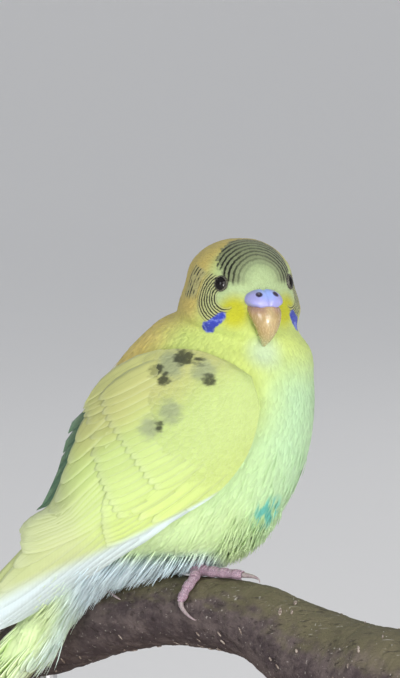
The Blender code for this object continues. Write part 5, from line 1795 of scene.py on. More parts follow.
    def coverts(self, ground: Ground, side: Side) -> Shape:
        """The small soft coverts of shoulder and back, which grow longer down the wing."""
        random = np.random.default_rng(SEED * 3 + side.value)
        middles = ground.points[ground.triangles].mean(1)
        over = (middles[:, 1] * 0.5 + middles[:, 2] * 0.86 > 19.0) * 1.0
        places = ground.scatter(26000, over / self.covert_size(middles) ** 2, SEED * 5 + side.value)
        size = self.covert_size(places)
        kept = spaced(places, 0.75 * size * math.sqrt(0.55 / 11.0))
        places, size = places[kept], size[kept]
        count = len(places)
        turn = ease(10.0, 17.0, places[:, 1])
        head = np.stack([np.zeros(count), np.full(count, -0.82), -0.42 - 0.45 * turn], -1)
        head = head + random.normal(0.0, 0.05, (count, 3))
        shape = Shape(0.8)
        spots = np.stack([(places[:, 1] + 45.0) / 70.0, (places[:, 2] + 10.0) / 75.0], -1)
        BODY_VANE.lie(shape, ground, places, head, size * random.uniform(0.85, 1.2, count),
                      size * random.uniform(0.4, 0.52, count), np.full(count, -0.12),
                      random.uniform(0.26, 0.38, count), random.normal(0.0, 0.035, count),
                      random.random(count), np.clip(spots, 0.01, 0.99), np.array([PATCH, PATCH]))
        return shape


WINGS = Wings()


# The tail


@dataclass(frozen=True)
class Tail:
    """Twelve graduated feathers, with coverts over and under their roots."""

    root: tuple = (-41.3, -13.8)
    slope: float = math.radians(49.0)
    roll: float = math.radians(25.0)
    length: float = 61.0
    sink: float = 4.0
    pairs: tuple = (1.0, 0.76, 0.66, 0.57, 0.48, 0.40)
    level: float = 1.0
    stagger: float = 0.21
    top_level: float = 2.4
    width: float = 8.2
    spread: float = 0.55
    block: tuple = ((4.5, 6.6, 5.6), (9.8, 6.3, 4.6), (15.0, 4.6, 3.2))
    block_drop: float = 0.9
    vane: Vane = Vane((0.0, 0.15, 0.35, 0.55, 0.72, 0.84, 0.92, 0.97, 1.0),
                      (0.66, 0.76, 0.88, 0.96, 1.0, 0.9, 0.68, 0.42, 0.14),
                      (-1.0, -0.6, -0.25, 0.0, 0.25, 0.6, 1.0), thickness=0.18, camber=0.03, ridge=0.12)

    def axes(self) -> tuple[Array, Array, Array]:
        """The tail's direction, its side and its back."""
        along = np.array([0.0, -math.cos(self.slope), -math.sin(self.slope)])
        side = np.array([1.0, 0.0, 0.0])
        top = np.array([0.0, -math.sin(self.slope), math.cos(self.slope)])
        c, s = math.cos(self.roll), math.sin(self.roll)
        return along, side * c - top * s, top * c + side * s

    def root_rings(self, table: Array, inset: float) -> Array:
        """Rings of flesh drawn out of the rump into the tail's root."""
        along, side, top = self.axes()
        start = np.array([0.0, *self.root])
        angle = np.linspace(0.0, 2 * math.pi, 40, endpoint=False)
        rings = [ring_points(table, np.full(40, 0.6), angle, inset + 0.3),
                 ring_points(table, np.zeros(40), angle, inset)]
        for reach, half, depth in self.block:
            middle = start + along * (reach - 1.5) - top * self.block_drop
            rings.append(middle - top[None] * (np.cos(angle) * (depth - inset))[:, None]
                         + side[None] * (np.sin(angle) * (half - inset))[:, None])
        return np.array(rings)

    def feathers(self) -> Shape:
        """The twelve long feathers."""
        shape = Shape(0.5)
        random = np.random.default_rng(SEED + 11)
        number = 0
        for pair, share in enumerate(self.pairs):
            for half in (-1, 1):
                level = self.top_level - self.level * (pair + self.stagger * half)
                out = half * (1.0 + self.spread * pair)
                reach = self.length * share + (random.normal(0.0, 0.3) if pair else 0.0)
                self.feather(shape, (self.sink, out * 0.7, level), (reach, out, level * 0.8),
                             self.width - 0.25 * pair, 0.17 * half, random.random(), number, 40)
                number += 1
        return shape

    def feather(self, shape: Shape, root: tuple, tip: tuple, width: float, roll: float, tone: float,
                number: int, whole: int, lift: float = 0.0) -> None:
        """One feather between two places (along, out, towards the top), which may curve off."""
        along, side, top = self.axes()
        start = np.array([0.0, *self.root])
        t = np.array(self.vane.along)[:, None]
        spot = np.array(root) * (1 - t) + np.array(tip) * t
        middle = start + along * spot[:, :1] + side * spot[:, 1:2]
        middle = middle + top * (spot[:, 2:] + lift * t * t)
        half = width / 2 * np.array(self.vane.widths)
        x = np.array(self.vane.across)
        base = middle[:, None] + side * (half[:, None] * x)[..., None]
        out = np.broadcast_to(top, base.shape)
        heights, thick = self.vane.heights(half[None], np.zeros(1), np.zeros(1), np.array([-roll]))
        patches, size = feather_cells(1, number, whole)
        self.vane.sweep(shape, base[None], out[None], heights, thick, np.array([tone]), patches, size)

    def coverts(self) -> Shape:
        """The shorter feathers over and under the tail's root, in overlapping ranks."""
        shape = Shape(0.8)
        random = np.random.default_rng(SEED + 12)
        ranks = ((1, 3.7, 24.0, 5), (1, 4.2, 18.0, 5), (1, 4.6, 12.0, 5),
                 (-1, -5.6, 29.0, 5), (-1, -5.6, 23.0, 5), (-1, -6.0, 17.0, 5), (-1, -6.4, 12.0, 5))
        number = 0
        whole = sum(rank[3] for rank in ranks)
        for face, level, length, count in ranks:
            for place in range(count):
                x = (place - (count - 1) / 2) / ((count - 1) / 2)
                out = x * 4.0 + random.normal(0.0, 0.2)
                low = level + face * -1.5 * x * x
                self.feather(shape, (self.sink - 4.0, out * 0.8, low * 0.75),
                             (length * (1 - 0.12 * x * x) + random.normal(0.0, 0.5), out, low * 0.92),
                             5.2, 0.12 * x, random.random(), number, whole)
                number += 1
        return shape


# The feet


@dataclass(frozen=True)
class Foot:
    """One foot: where it stands, its leg and its toes."""

    side: Side
    ahead: float
    hip: float
    toes: dict


@dataclass
class Feet:
    """Both feet, which grip the branch with two toes ahead and two behind."""

    perch: "Perch"
    right: tuple = (
        ("2", ((0.8, -0.12), (3.4, -0.50), (6.0, -0.85), (8.0, -1.15)), (11.0, -1.50), 1.1),
        ("3", ((1.6, 0.05), (5.0, 0.08), (8.5, 0.05), (11.6, 0.00)), (15.6, -0.02), 1.25),
        ("4", ((0.2, 0.14), (2.2, 0.50), (2.2, 0.90), (2.0, 1.20)), (6.3, 1.62), 1.25),
        ("1", ((-1.0, -0.10), (-2.8, -0.42), (-4.2, -0.75), (-5.0, -1.00)), (-5.4, -1.44), 1.0),
    )
    left: tuple = (
        ("2", ((0.6, 0.12), (1.2, 0.30), (1.4, 0.46), (1.3, 0.62)), (5.6, 1.10), 1.1),
        ("3", ((1.6, -0.10), (4.5, -0.30), (7.5, -0.45), (10.5, -0.55)), (14.2, -0.75), 1.25),
        ("4", ((-0.8, -0.15), (-2.4, -0.50), (-3.6, -0.90), (-4.4, -1.25)), (-3.8, -1.70), 1.25),
        ("1", ((-1.0, 0.10), (-3.0, 0.36), (-4.6, 0.62), (-5.4, 0.85)), (-5.6, 1.30), 1.0),
    )
    places: tuple = ((Side.RIGHT, 0.3, -8.6), (Side.LEFT, -20.5, 8.0))
    claw_arch: float = 1.5
    claw_radius: float = 0.74
    rest: float = 0.2

    @property
    def feet(self) -> list["FootShape"]:
        """Both feet as builders."""
        toes = {Side.RIGHT: self.right, Side.LEFT: self.left}
        return [FootShape(self, side, ahead, hip, toes[side]) for side, ahead, hip in self.places]


@dataclass
class FootShape:
    """Builds the meshes of one foot."""

    feet: Feet
    side: Side
    ahead: float
    hip: float
    toes: tuple

    def leg_line(self) -> tuple[Array, Array]:
        """The lower and upper end of the leg."""
        low = self.feet.perch.place(self.ahead, 0.05, 4.3)
        high = np.array([self.hip, self.ahead - 6.0, low[2] + 14.0])
        return low, high

    def leg_rings(self, radii: tuple) -> Array:
        """Rings of the thigh, from above the ankle into the belly."""
        low, high = self.leg_line()
        low = low + (high - low) * 0.12
        share = np.linspace(0.0, 1.0, len(radii))[:, None]
        path = low + (high - low) * share
        return tube(path, np.array(radii), 24)

    def toe_path(self, steps: tuple, radius: float, count: int) -> Array:
        """The middle line of a toe on the bark."""
        at = np.linspace(0.0, len(steps) - 1.0, count)
        rows = curve(np.array(steps), at)
        return np.array([self.feet.perch.place(self.ahead + ahead, turn, radius + self.feet.rest)
                         for ahead, turn in rows])

    def skin(self) -> bpy.types.Object:
        """Pad, ankle and toes as one skin, with a soft pad under every joint."""
        shape = Shape()
        perch = self.feet.perch
        pad = perch.place(self.ahead, 0.0, 1.7)
        low, high = self.leg_line()
        ankle = np.array([pad - [0.0, 0.0, 0.6], pad + (low - pad) * 0.5, low, low + (high - low) * 0.12,
                          low + (high - low) * 0.3])
        shape.grid(tube(ankle, np.array([1.9, 1.75, 1.5, 1.45, 1.4]), 24), closed=True, caps=True)
        for _, steps, _, radius in self.toes:
            path = self.toe_path(steps, radius, 22)
            path = np.concatenate([pad[None] + (path[:1] - pad) * 0.2, path])
            t = np.linspace(0.0, 1.0, len(path))
            joints = 0.1 * np.cos(t * math.pi * 7.0)
            radii = radius * (1.12 - 0.26 * t + joints)
            radii[-1] *= 0.75
            shape.grid(tube(path, radii, 20), closed=True, caps=True)
        item = shape.piece(f"budgie_foot_{self.side.name.lower()}")
        remesh = item.modifiers.new("one skin", "REMESH")
        remesh.mode = "VOXEL"
        remesh.voxel_size = 0.2 * MM
        smooth = item.modifiers.new("smooth", "SMOOTH")
        smooth.factor = 0.5
        smooth.iterations = 4
        return applied(item)

    def scutes(self) -> bpy.types.Object:
        """The overlapping plates along the top of every toe."""
        shape = Shape()
        perch = self.feet.perch
        for _, steps, _, radius in self.toes:
            path = self.toe_path(steps, radius, 40)
            gaps = np.linalg.norm(np.diff(path, axis=0), axis=1)
            reach = np.concatenate([[0.0], np.cumsum(gaps)])
            number = int(reach[-1] / 0.85)
            for plate in range(number):
                t = (plate + 0.6) / number
                at = t * (len(path) - 1)
                centre = curve(path, np.array(at))
                ahead = unit(curve(path, np.array(min(at + 1.0, len(path) - 1.0))) - centre)
                steps_at = curve(np.array(steps), np.array(t * (len(steps) - 1.0)))
                axis = perch.frame(self.ahead + steps_at[0])[0]
                top = unit(centre - axis)
                top = unit(top - ahead * (top @ ahead))
                size = radius * (1.12 - 0.26 * t + 0.1 * math.cos(t * math.pi * 7.0))
                self.plate(shape, centre, ahead, top, size, 0.62)
        return shape.piece(f"budgie_scutes_{self.side.name.lower()}")

    def plate(self, shape: Shape, centre: Array, ahead: Array, top: Array, radius: float,
              half: float) -> None:
        """One curved plate, thicker at its front edge."""
        across = np.cross(ahead, top)
        angle = np.linspace(-1.25, 1.25, 9)[None]
        u = np.array([-1.0, -0.4, 0.4, 1.0])[:, None]
        bow = 1.0 - 0.18 * np.abs(angle) * (u > 0)
        lift = np.array([0.0, 0.07, 0.12, 0.06])[:, None] * np.cos(angle * 0.9)
        outer = centre + ahead * (u * half * bow)[..., None] + (
            top * (np.cos(angle) * (radius * 0.97 + lift))[..., None]
            + across * (np.sin(angle) * (radius * 0.97 + lift))[..., None]
        )
        inner = centre + ahead * (u * half * bow * 0.9)[..., None] + (
            top * (np.cos(angle) * radius * 0.86 + 0.0 * u)[..., None]
            + across * (np.sin(angle) * radius * 0.86 + 0.0 * u)[..., None]
        )
        shape.grid(np.concatenate([outer, inner[:, ::-1]], 1), closed=True, caps=True)

    def claws(self) -> list[bpy.types.Object]:
        """A curved, tapering claw on each toe."""
        made = []
        feet = self.feet
        for digit, steps, tip, radius in self.toes:
            path = self.toe_path(steps, radius, 7)
            along = unit(path[-1] - path[-2])
            start = path[-1] + along * 0.1
            end = feet.perch.place(self.ahead + tip[0], tip[1], feet.rest + 0.15)
            _, _, near, top = feet.perch.frame(self.ahead + tip[0])
            out = near * math.sin(tip[1]) + top * math.cos(tip[1])
            t = np.linspace(0.0, 1.0, 18)[:, None]
            u = 1.0 - t
            points = (start * u ** 3 + (start + along * 1.8) * (3 * u * u * t)
                      + (end + out * feet.claw_arch) * (3 * u * t * t) + end * t ** 3)
            radii = feet.claw_radius * (1.0 - 0.9 * t[:, 0] ** 1.1)
            shape = Shape()
            shape.grid(tube(points, radii, 16), closed=True, caps=True)
            made.append(shape.piece(f"budgie_claw_{self.side.name.lower()}_{digit}"))
        return made


def tube(path: Array, radii: Array, sides: int) -> Array:
    """Rings round a path, turned as little as can be from one to the next."""
    along = unit(np.gradient(path, axis=0))
    hint = np.array([0.0, 0.0, 1.0]) if abs(along[0][2]) < 0.8 else np.array([0.0, 1.0, 0.0])
    rings = []
    angle = np.linspace(0.0, 2 * math.pi, sides, endpoint=False)[:, None]
    for spot, way, radius in zip(path, along, radii):
        top = unit(hint - way * (hint @ way))
        across = np.cross(way, top)
        rings.append(spot + (top * np.cos(angle) + across * np.sin(angle)) * radius)
        hint = top
    return np.array(rings)


@dataclass(frozen=True)
class FootFinish:
    """Mauve-pink scaly skin."""

    light: Colour = (0.46, 0.33, 0.40)
    dark: Colour = (0.24, 0.15, 0.20)

    def material(self) -> bpy.types.Material:
        """Scales with darker creases between them."""
        paint = Paint("budgie_foot", 0.55, Specular_IOR_Level=0.4)
        paint.soften(0.15, 0.8, (1.0, 0.5, 0.5))
        scales = paint.cells(0.42).ease(0.02, 0.2)
        grain = paint.noise(1.4, 2.0)
        paint.bump(scales + grain * 0.4, 0.08, 0.7)
        colour = paint.mix(self.dark, self.light, scales * 0.7 + grain * 0.3)
        return paint.finish(colour)


@dataclass(frozen=True)
class ClawFinish:
    """Grey-pink horn."""

    root: Colour = (0.26, 0.19, 0.21)
    tip: Colour = (0.34, 0.29, 0.28)

    def material(self) -> bpy.types.Material:
        """Striated, slightly glossy horn."""
        paint = Paint("budgie_claw", 0.35, Coat_Weight=0.3, Coat_Roughness=0.2)
        grain = paint.noise(0.5, 3.0, (1.0, 1.0, 3.0))
        paint.bump(grain, 0.04, 0.4)
        return paint.finish(paint.mix(self.root, self.tip, grain.ease(0.35, 0.65)))


# The branch and the stand


@dataclass(frozen=True)
class Perch:
    """The cut length of branch."""

    line: tuple = (
        (-64.0, -29.0, 9.2), (-50.0, -23.6, 9.1), (-36.0, -18.0, 9.2), (-21.0, -12.2, 9.2),
        (-6.0, -8.9, 9.0), (8.0, -8.6, 9.3), (18.0, -9.8, 9.8), (28.0, -14.2, 11.2),
        (42.0, -19.6, 13.4), (55.0, -22.8, 15.2), (68.0, -25.4, 15.8),
    )
    side: float = -6.0
    skew: float = -0.62
    knot_ahead: float = 50.0
    knot_height: float = 1.6
    knot_reach: float = 9.0
    quiet: tuple = (-32.0, 22.0)
    steps: int = 330
    sides: int = 132
    depth: float = 0.55

    def axis(self, ahead: Array) -> tuple[Array, Array]:
        """The branch's middle at distances ahead, and its radius."""
        table = np.array(self.line)
        at = np.interp(ahead, table[:, 0], np.arange(len(table)))
        row = curve(table, at)
        middle = np.stack([self.side + self.skew * row[..., 0], row[..., 0], row[..., 1]], -1)
        return middle, row[..., 2]

    def frame(self, ahead: Array) -> tuple[Array, Array, Array, Array]:
        """The branch's middle, radius, near side and top at distances ahead."""
        ahead = np.asarray(ahead, float)
        middle, radius = self.axis(ahead)
        along = unit(self.axis(np.minimum(ahead + 1.0, self.line[-1][0]))[0]
                     - self.axis(np.maximum(ahead - 1.0, self.line[0][0]))[0])
        near = unit(np.cross(along, [0.0, 0.0, 1.0]))
        near = np.where(near[..., :1] > 0, -near, near)
        top = np.cross(along, near)
        top = np.where(top[..., 2:] < 0, -top, top)
        return middle, radius, near, top

    def place(self, ahead: Array, turn: Array, lift: Array | float) -> Array:
        """Places over the bark: turn 0 is on top, and a positive one is on the bird's right."""
        middle, radius, near, top = self.frame(ahead)
        turn = np.asarray(turn, float)
        way = near * np.sin(turn)[..., None] + top * np.cos(turn)[..., None]
        return middle + way * np.asarray(radius + lift, float)[..., None]

    def outside(self, places: Array, gap: float) -> Array:
        """The same places, moved out of the bark where they lie in it."""
        middle, radius, near, top = self.frame(np.clip(places[..., 1], self.line[0][0], self.line[-1][0]))
        along = np.cross(near, top)
        away = places - middle
        away = away - along * (away * along).sum(-1, keepdims=True)
        reach = np.linalg.norm(away, axis=-1)
        push = np.maximum(radius + gap - reach, 0.0)
        return places + unit(away) * push[..., None]

    def swell(self, ahead: Array, turn: Array) -> Array:
        """The slow swellings of the branch and its old knot."""
        slow = 0.25 * np.sin(ahead * 0.21 + 1.0) * np.cos(turn * 2 + ahead * 0.05)
        far = np.hypot(ahead - self.knot_ahead, 12.0 * (turn - 0.9)) / self.knot_reach
        whole = slow + self.knot_height * np.exp(-far * far * 2)
        calm = ease(self.quiet[0] - 4.0, self.quiet[0], ahead) * ease(self.quiet[1] + 4.0,
                                                                      self.quiet[1], ahead)
        return whole * (1 - calm)

    def bark(self, ahead: Array, turn: Array) -> Array:
        """Fine relief: long shallow furrows, flakes and wrinkles round the branch."""
        height = np.empty(ahead.shape)
        for index in np.ndindex(ahead.shape):
            a, w = float(ahead[index]), float(turn[index])
            spot = Vector((a * 0.16, 2.4 * math.cos(w), 2.4 * math.sin(w)))
            long = noise.noise(spot * 1.9)
            fine = noise.noise(Vector((a * 0.55, 6.5 * math.cos(w), 6.5 * math.sin(w))))
            wrinkle = noise.noise(Vector((a * 1.5, 1.6 * math.cos(w), 1.6 * math.sin(w))))
            height[index] = 0.5 * long + 0.32 * fine + 0.28 * wrinkle
        return height

    def build(self) -> bpy.types.Object:
        """The branch with its bark and its two sawn ends."""
        first, last = self.line[0][0], self.line[-1][0]
        ahead = np.linspace(first, last, self.steps)[:, None]
        turn = np.linspace(-math.pi, math.pi, self.sides, endpoint=False)[None]
        ahead, turn = np.broadcast_arrays(ahead, turn)
        relief = self.bark(ahead, turn) * self.depth - 0.16
        edge = ease(first, first + 1.2, ahead) * ease(last, last - 1.2, ahead)
        lift = self.swell(ahead, turn) + np.minimum(relief, 0.12) - 0.35 * (1 - edge)
        places = self.place(ahead, turn, lift)
        rings = [places]
        shape = Shape()
        for end, ring in ((0, places[0]), (1, places[-1])):
            middle = ring.mean(0)
            shares = np.linspace(1.0, 0.0, 18)[1:-1, None, None]
            cap = middle + (ring - middle) * shares
            grain = np.sin(shares[..., 0] * 60.0) * 0.04
            cap[..., 1] += grain
            rings = ([cap[::-1]] + rings) if end == 0 else rings + [cap]
        shape.grid(np.concatenate(rings), closed=True, caps=True)
        return shape.piece("branch")


@dataclass(frozen=True)
class BarkFinish:
    """Weathered bark: grey-green on top, purple-brown beneath, with pale flecks."""

    brown: Colour = (0.053, 0.039, 0.041)
    light: Colour = (0.11, 0.085, 0.082)
    moss: Colour = (0.13, 0.115, 0.065)
    fleck: Colour = (0.52, 0.48, 0.44)
    heart: Colour = (0.46, 0.33, 0.20)
    ring: Colour = (0.26, 0.17, 0.10)

    def material(self, perch: Perch) -> bpy.types.Material:
        """Bark on the sides and growth rings on the sawn ends."""
        paint = Paint("branch_bark", 0.85, Specular_IOR_Level=0.25)
        patches = paint.noise(6.0, 5.0, (1.0, 2.0, 1.0), 0.7)
        colour = paint.mix(self.brown, self.light, patches.ease(0.40, 0.62))
        _, _, facing = paint.facing()
        moss = (facing + (paint.noise(5.0, 3.0) - 0.5) * 0.9).ease(0.2, 0.85)
        colour = paint.mix(colour, self.moss, moss * 0.85)
        scratch = paint.noise(1.4, 2.0, (0.5, 3.2, 0.5), 0.6).ease(0.66, 0.76)
        specks = paint.noise(1.1, 2.0, (1.6, 0.7, 1.6)).ease(0.68, 0.76)
        colour = paint.mix(colour, self.fleck, (scratch + specks).math("MINIMUM", 1.0) * 0.5)
        cracks = paint.noise(2.2, 3.0, (0.6, 3.0, 0.6), 0.6).ease(0.40, 0.30)
        colour = paint.mix(colour, (0.03, 0.022, 0.02), cracks * 0.6)
        _, ahead, _ = paint.split(paint.inner)
        first, last = perch.line[0][0], perch.line[-1][0]
        sawn = ahead.ease(first + 0.25, first + 0.05) + ahead.ease(last - 0.25, last - 0.05)
        middle = [perch.axis(np.array(end))[0] for end in (first, last)]
        reach = None
        for spot in middle:
            part = paint.vector("DISTANCE", paint.inner, tuple(float(v) for v in spot))
            reach = part if reach is None else reach.math("MINIMUM", part)
        rings = (reach + paint.noise(4.0, 1.0) * 1.6).wave(1.5).ease(-0.2, 0.9)
        colour = paint.mix(colour, paint.mix(self.heart, self.ring, rings), sawn)
        fine = paint.noise(0.6, 4.0, (1.0, 1.6, 1.0), 0.65)
        paint.bump(fine * 1.4 + patches * 1.5 - cracks * 0.8, 0.3, 0.9)
        return paint.finish(colour, fine * 0.2 + 0.72)


@dataclass(frozen=True)
class Lenticels:
    """The bark's raised corky specks, each a small lens across the branch."""

    perch: Perch
    number: int = 130
    size: float = 1.0

    def build(self) -> bpy.types.Object:
        """Scatters lenses over the bark with Geometry Nodes and makes them one mesh."""
        random = np.random.default_rng(SEED + 21)
        ahead = random.uniform(-60.0, 64.0, self.number)
        turn = random.uniform(-math.pi, math.pi, self.number)
        clear = (np.abs(turn) > 1.9) | (ahead < -30.0) | (ahead > 18.0)
        ahead, turn = ahead[clear], turn[clear]
        spots = self.perch.place(ahead, turn, self.perch.swell(ahead, turn) - 0.05)
        middle = self.perch.axis(ahead)[0]
        points = world(spots)
        ways = unit(points - world(middle))
        mesh = bpy.data.meshes.new("lenticels")
        mesh.from_pydata(points.tolist(), [], [])
        out = mesh.attributes.new("out", "FLOAT_VECTOR", "POINT")
        out.data.foreach_set("vector", ways.astype(np.float32).ravel())
        item = link("branch_lenticels", mesh)
        tree, sizes = lens_tree(SEED)
        modifier = item.modifiers.new("lenses", "NODES")
        modifier.node_group = tree
        modifier[sizes["Size"]] = self.size * MM
        return applied(item)


def lens_tree(seed: int) -> tuple[bpy.types.NodeTree, dict[str, str]]:
    """A tree that puts a flat lens on every point, turned along the point's way out.

    Returns:
        The tree, and the identifiers of its sizes.
    """
    tree = bpy.data.node_groups.new("lenses", "GeometryNodeTree")
    tree.interface.new_socket("Geometry", in_out="INPUT", socket_type="NodeSocketGeometry")
    size = tree.interface.new_socket("Size", in_out="INPUT", socket_type="NodeSocketFloat")
    tree.interface.new_socket("Geometry", in_out="OUTPUT", socket_type="NodeSocketGeometry")
    nodes, links = tree.nodes, tree.links
    inputs, outputs = nodes.new("NodeGroupInput"), nodes.new("NodeGroupOutput")
    ball = nodes.new("GeometryNodeMeshUVSphere")
    ball.inputs["Segments"].default_value = 10
    ball.inputs["Rings"].default_value = 6
    links.new(inputs.outputs["Size"], ball.inputs["Radius"])
    out = nodes.new("GeometryNodeInputNamedAttribute")
    out.data_type = "FLOAT_VECTOR"
    out.inputs["Name"].default_value = "out"
    turn = nodes.new("FunctionNodeAlignRotationToVector")
    turn.axis = "Z"
    links.new(out.outputs["Attribute"], turn.inputs["Vector"])
    random = nodes.new("FunctionNodeRandomValue")
    random.data_type = "FLOAT_VECTOR"
    random.inputs["Min"].default_value = (0.45, 0.2, 0.10)
    random.inputs["Max"].default_value = (1.3, 0.5, 0.24)
    random.inputs["Seed"].default_value = seed
    place = nodes.new("GeometryNodeInstanceOnPoints")
    links.new(inputs.outputs["Geometry"], place.inputs["Points"])
    links.new(ball.outputs["Mesh"], place.inputs["Instance"])
    links.new(turn.outputs["Rotation"], place.inputs["Rotation"])
    links.new(random.outputs["Value"], place.inputs["Scale"])
    real = nodes.new("GeometryNodeRealizeInstances")
    material = nodes.new("GeometryNodeSetMaterial")
    links.new(place.outputs["Instances"], real.inputs["Geometry"])
    links.new(real.outputs["Geometry"], material.inputs["Geometry"])
    links.new(material.outputs["Geometry"], outputs.inputs["Geometry"])
    return tree, {"Size": size.identifier}


@dataclass(frozen=True)
class LenticelFinish:
    """Pale cork."""

    light: Colour = (0.36, 0.31, 0.27)
    dark: Colour = (0.16, 0.12, 0.10)

    def material(self) -> bpy.types.Material:
        """Dry, pale and rough."""
        paint = Paint("branch_lenticel", 0.9, Specular_IOR_Level=0.2)
        grain = paint.noise(0.5, 2.0)
        paint.bump(grain, 0.1, 0.6)
        return paint.finish(paint.mix(self.dark, self.light, grain.ease(0.35, 0.7)))


@dataclass(frozen=True)
class Stand:
    """What is added to the display stand: a collar where each rod enters the base."""

    perch: Perch
    base_top: float = 10.0 - PERCH_TOP
    rods: tuple = (("front", 43.0), ("rear", -43.5))
    rod_radius: float = 2.5

    def collars(self) -> bpy.types.Object:
        """Turned collars at the foot of the rods."""
        shape = Shape()
        profile = ((0.06, 0.0), (2.9, 0.0), (3.3, 0.25), (3.3, 0.9), (2.75, 1.3), (2.6, 1.9), (2.1, 2.15),
                   (0.06, 2.15))
        for _, ahead in self.rods:
            middle, _ = self.perch.axis(np.array(ahead))
            turn = np.linspace(0.0, 2 * math.pi, 48, endpoint=False)[None]
            rings = np.array(profile)
            radius = np.maximum(rings[:, 0] + 0.0, 0.06)[:, None]
            up = (self.base_top + 0.02 + rings[:, 1])[:, None]
            places = np.stack([middle[0] + radius * np.cos(turn), middle[1] + radius * np.sin(turn),
                               up + 0.0 * turn], -1)
            shape.grid(places, closed=True, caps=True)
        return shape.piece("stand_collars")


@dataclass(frozen=True)
class WoodFinish:
    """Satin varnished wood."""

    light: Colour = (0.42, 0.27, 0.15)
    dark: Colour = (0.25, 0.14, 0.07)

    def material(self) -> bpy.types.Material:
        """Long straight grain with fine pores."""
        paint = Paint("stand_wood", 0.4, Coat_Weight=0.25, Coat_Roughness=0.25)
        x, _, up = paint.split(paint.inner)
        bend = paint.noise(30.0, 2.0, (1.0, 5.0, 1.0))
        grain = (x * 0.35 + up * 0.1 + bend * 9.0).wave(1.3).ease(-0.9, 1.0)
        pores = paint.noise(0.8, 3.0, (0.5, 9.0, 0.5)).ease(0.52, 0.7)
        colour = paint.mix(self.light, self.dark, grain * 0.55 + bend * 0.25)
        colour = paint.mix(colour, (0.10, 0.055, 0.03), pores * 0.5)
        paint.bump(pores * -1.0 + grain * 0.3, 0.05, 0.4)
        return paint.finish(colour, pores * 0.2 + 0.34)


@dataclass(frozen=True)
class SteelFinish:
    """Brushed steel."""

    colour: Colour = (0.60, 0.60, 0.61)

    def material(self) -> bpy.types.Material:
        """Steel brushed round the rod."""
        paint = Paint("stand_steel", 0.3, Metallic=1.0)
        lines = paint.noise(0.5, 3.0, (8.0, 8.0, 0.25))
        paint.bump(lines, 0.02, 0.3)
        tint = paint.scaled(paint.mix(self.colour, self.colour, lines), lines * 0.2 + 0.88)
        return paint.finish(tint, lines * 0.2 + 0.22)


# The studio


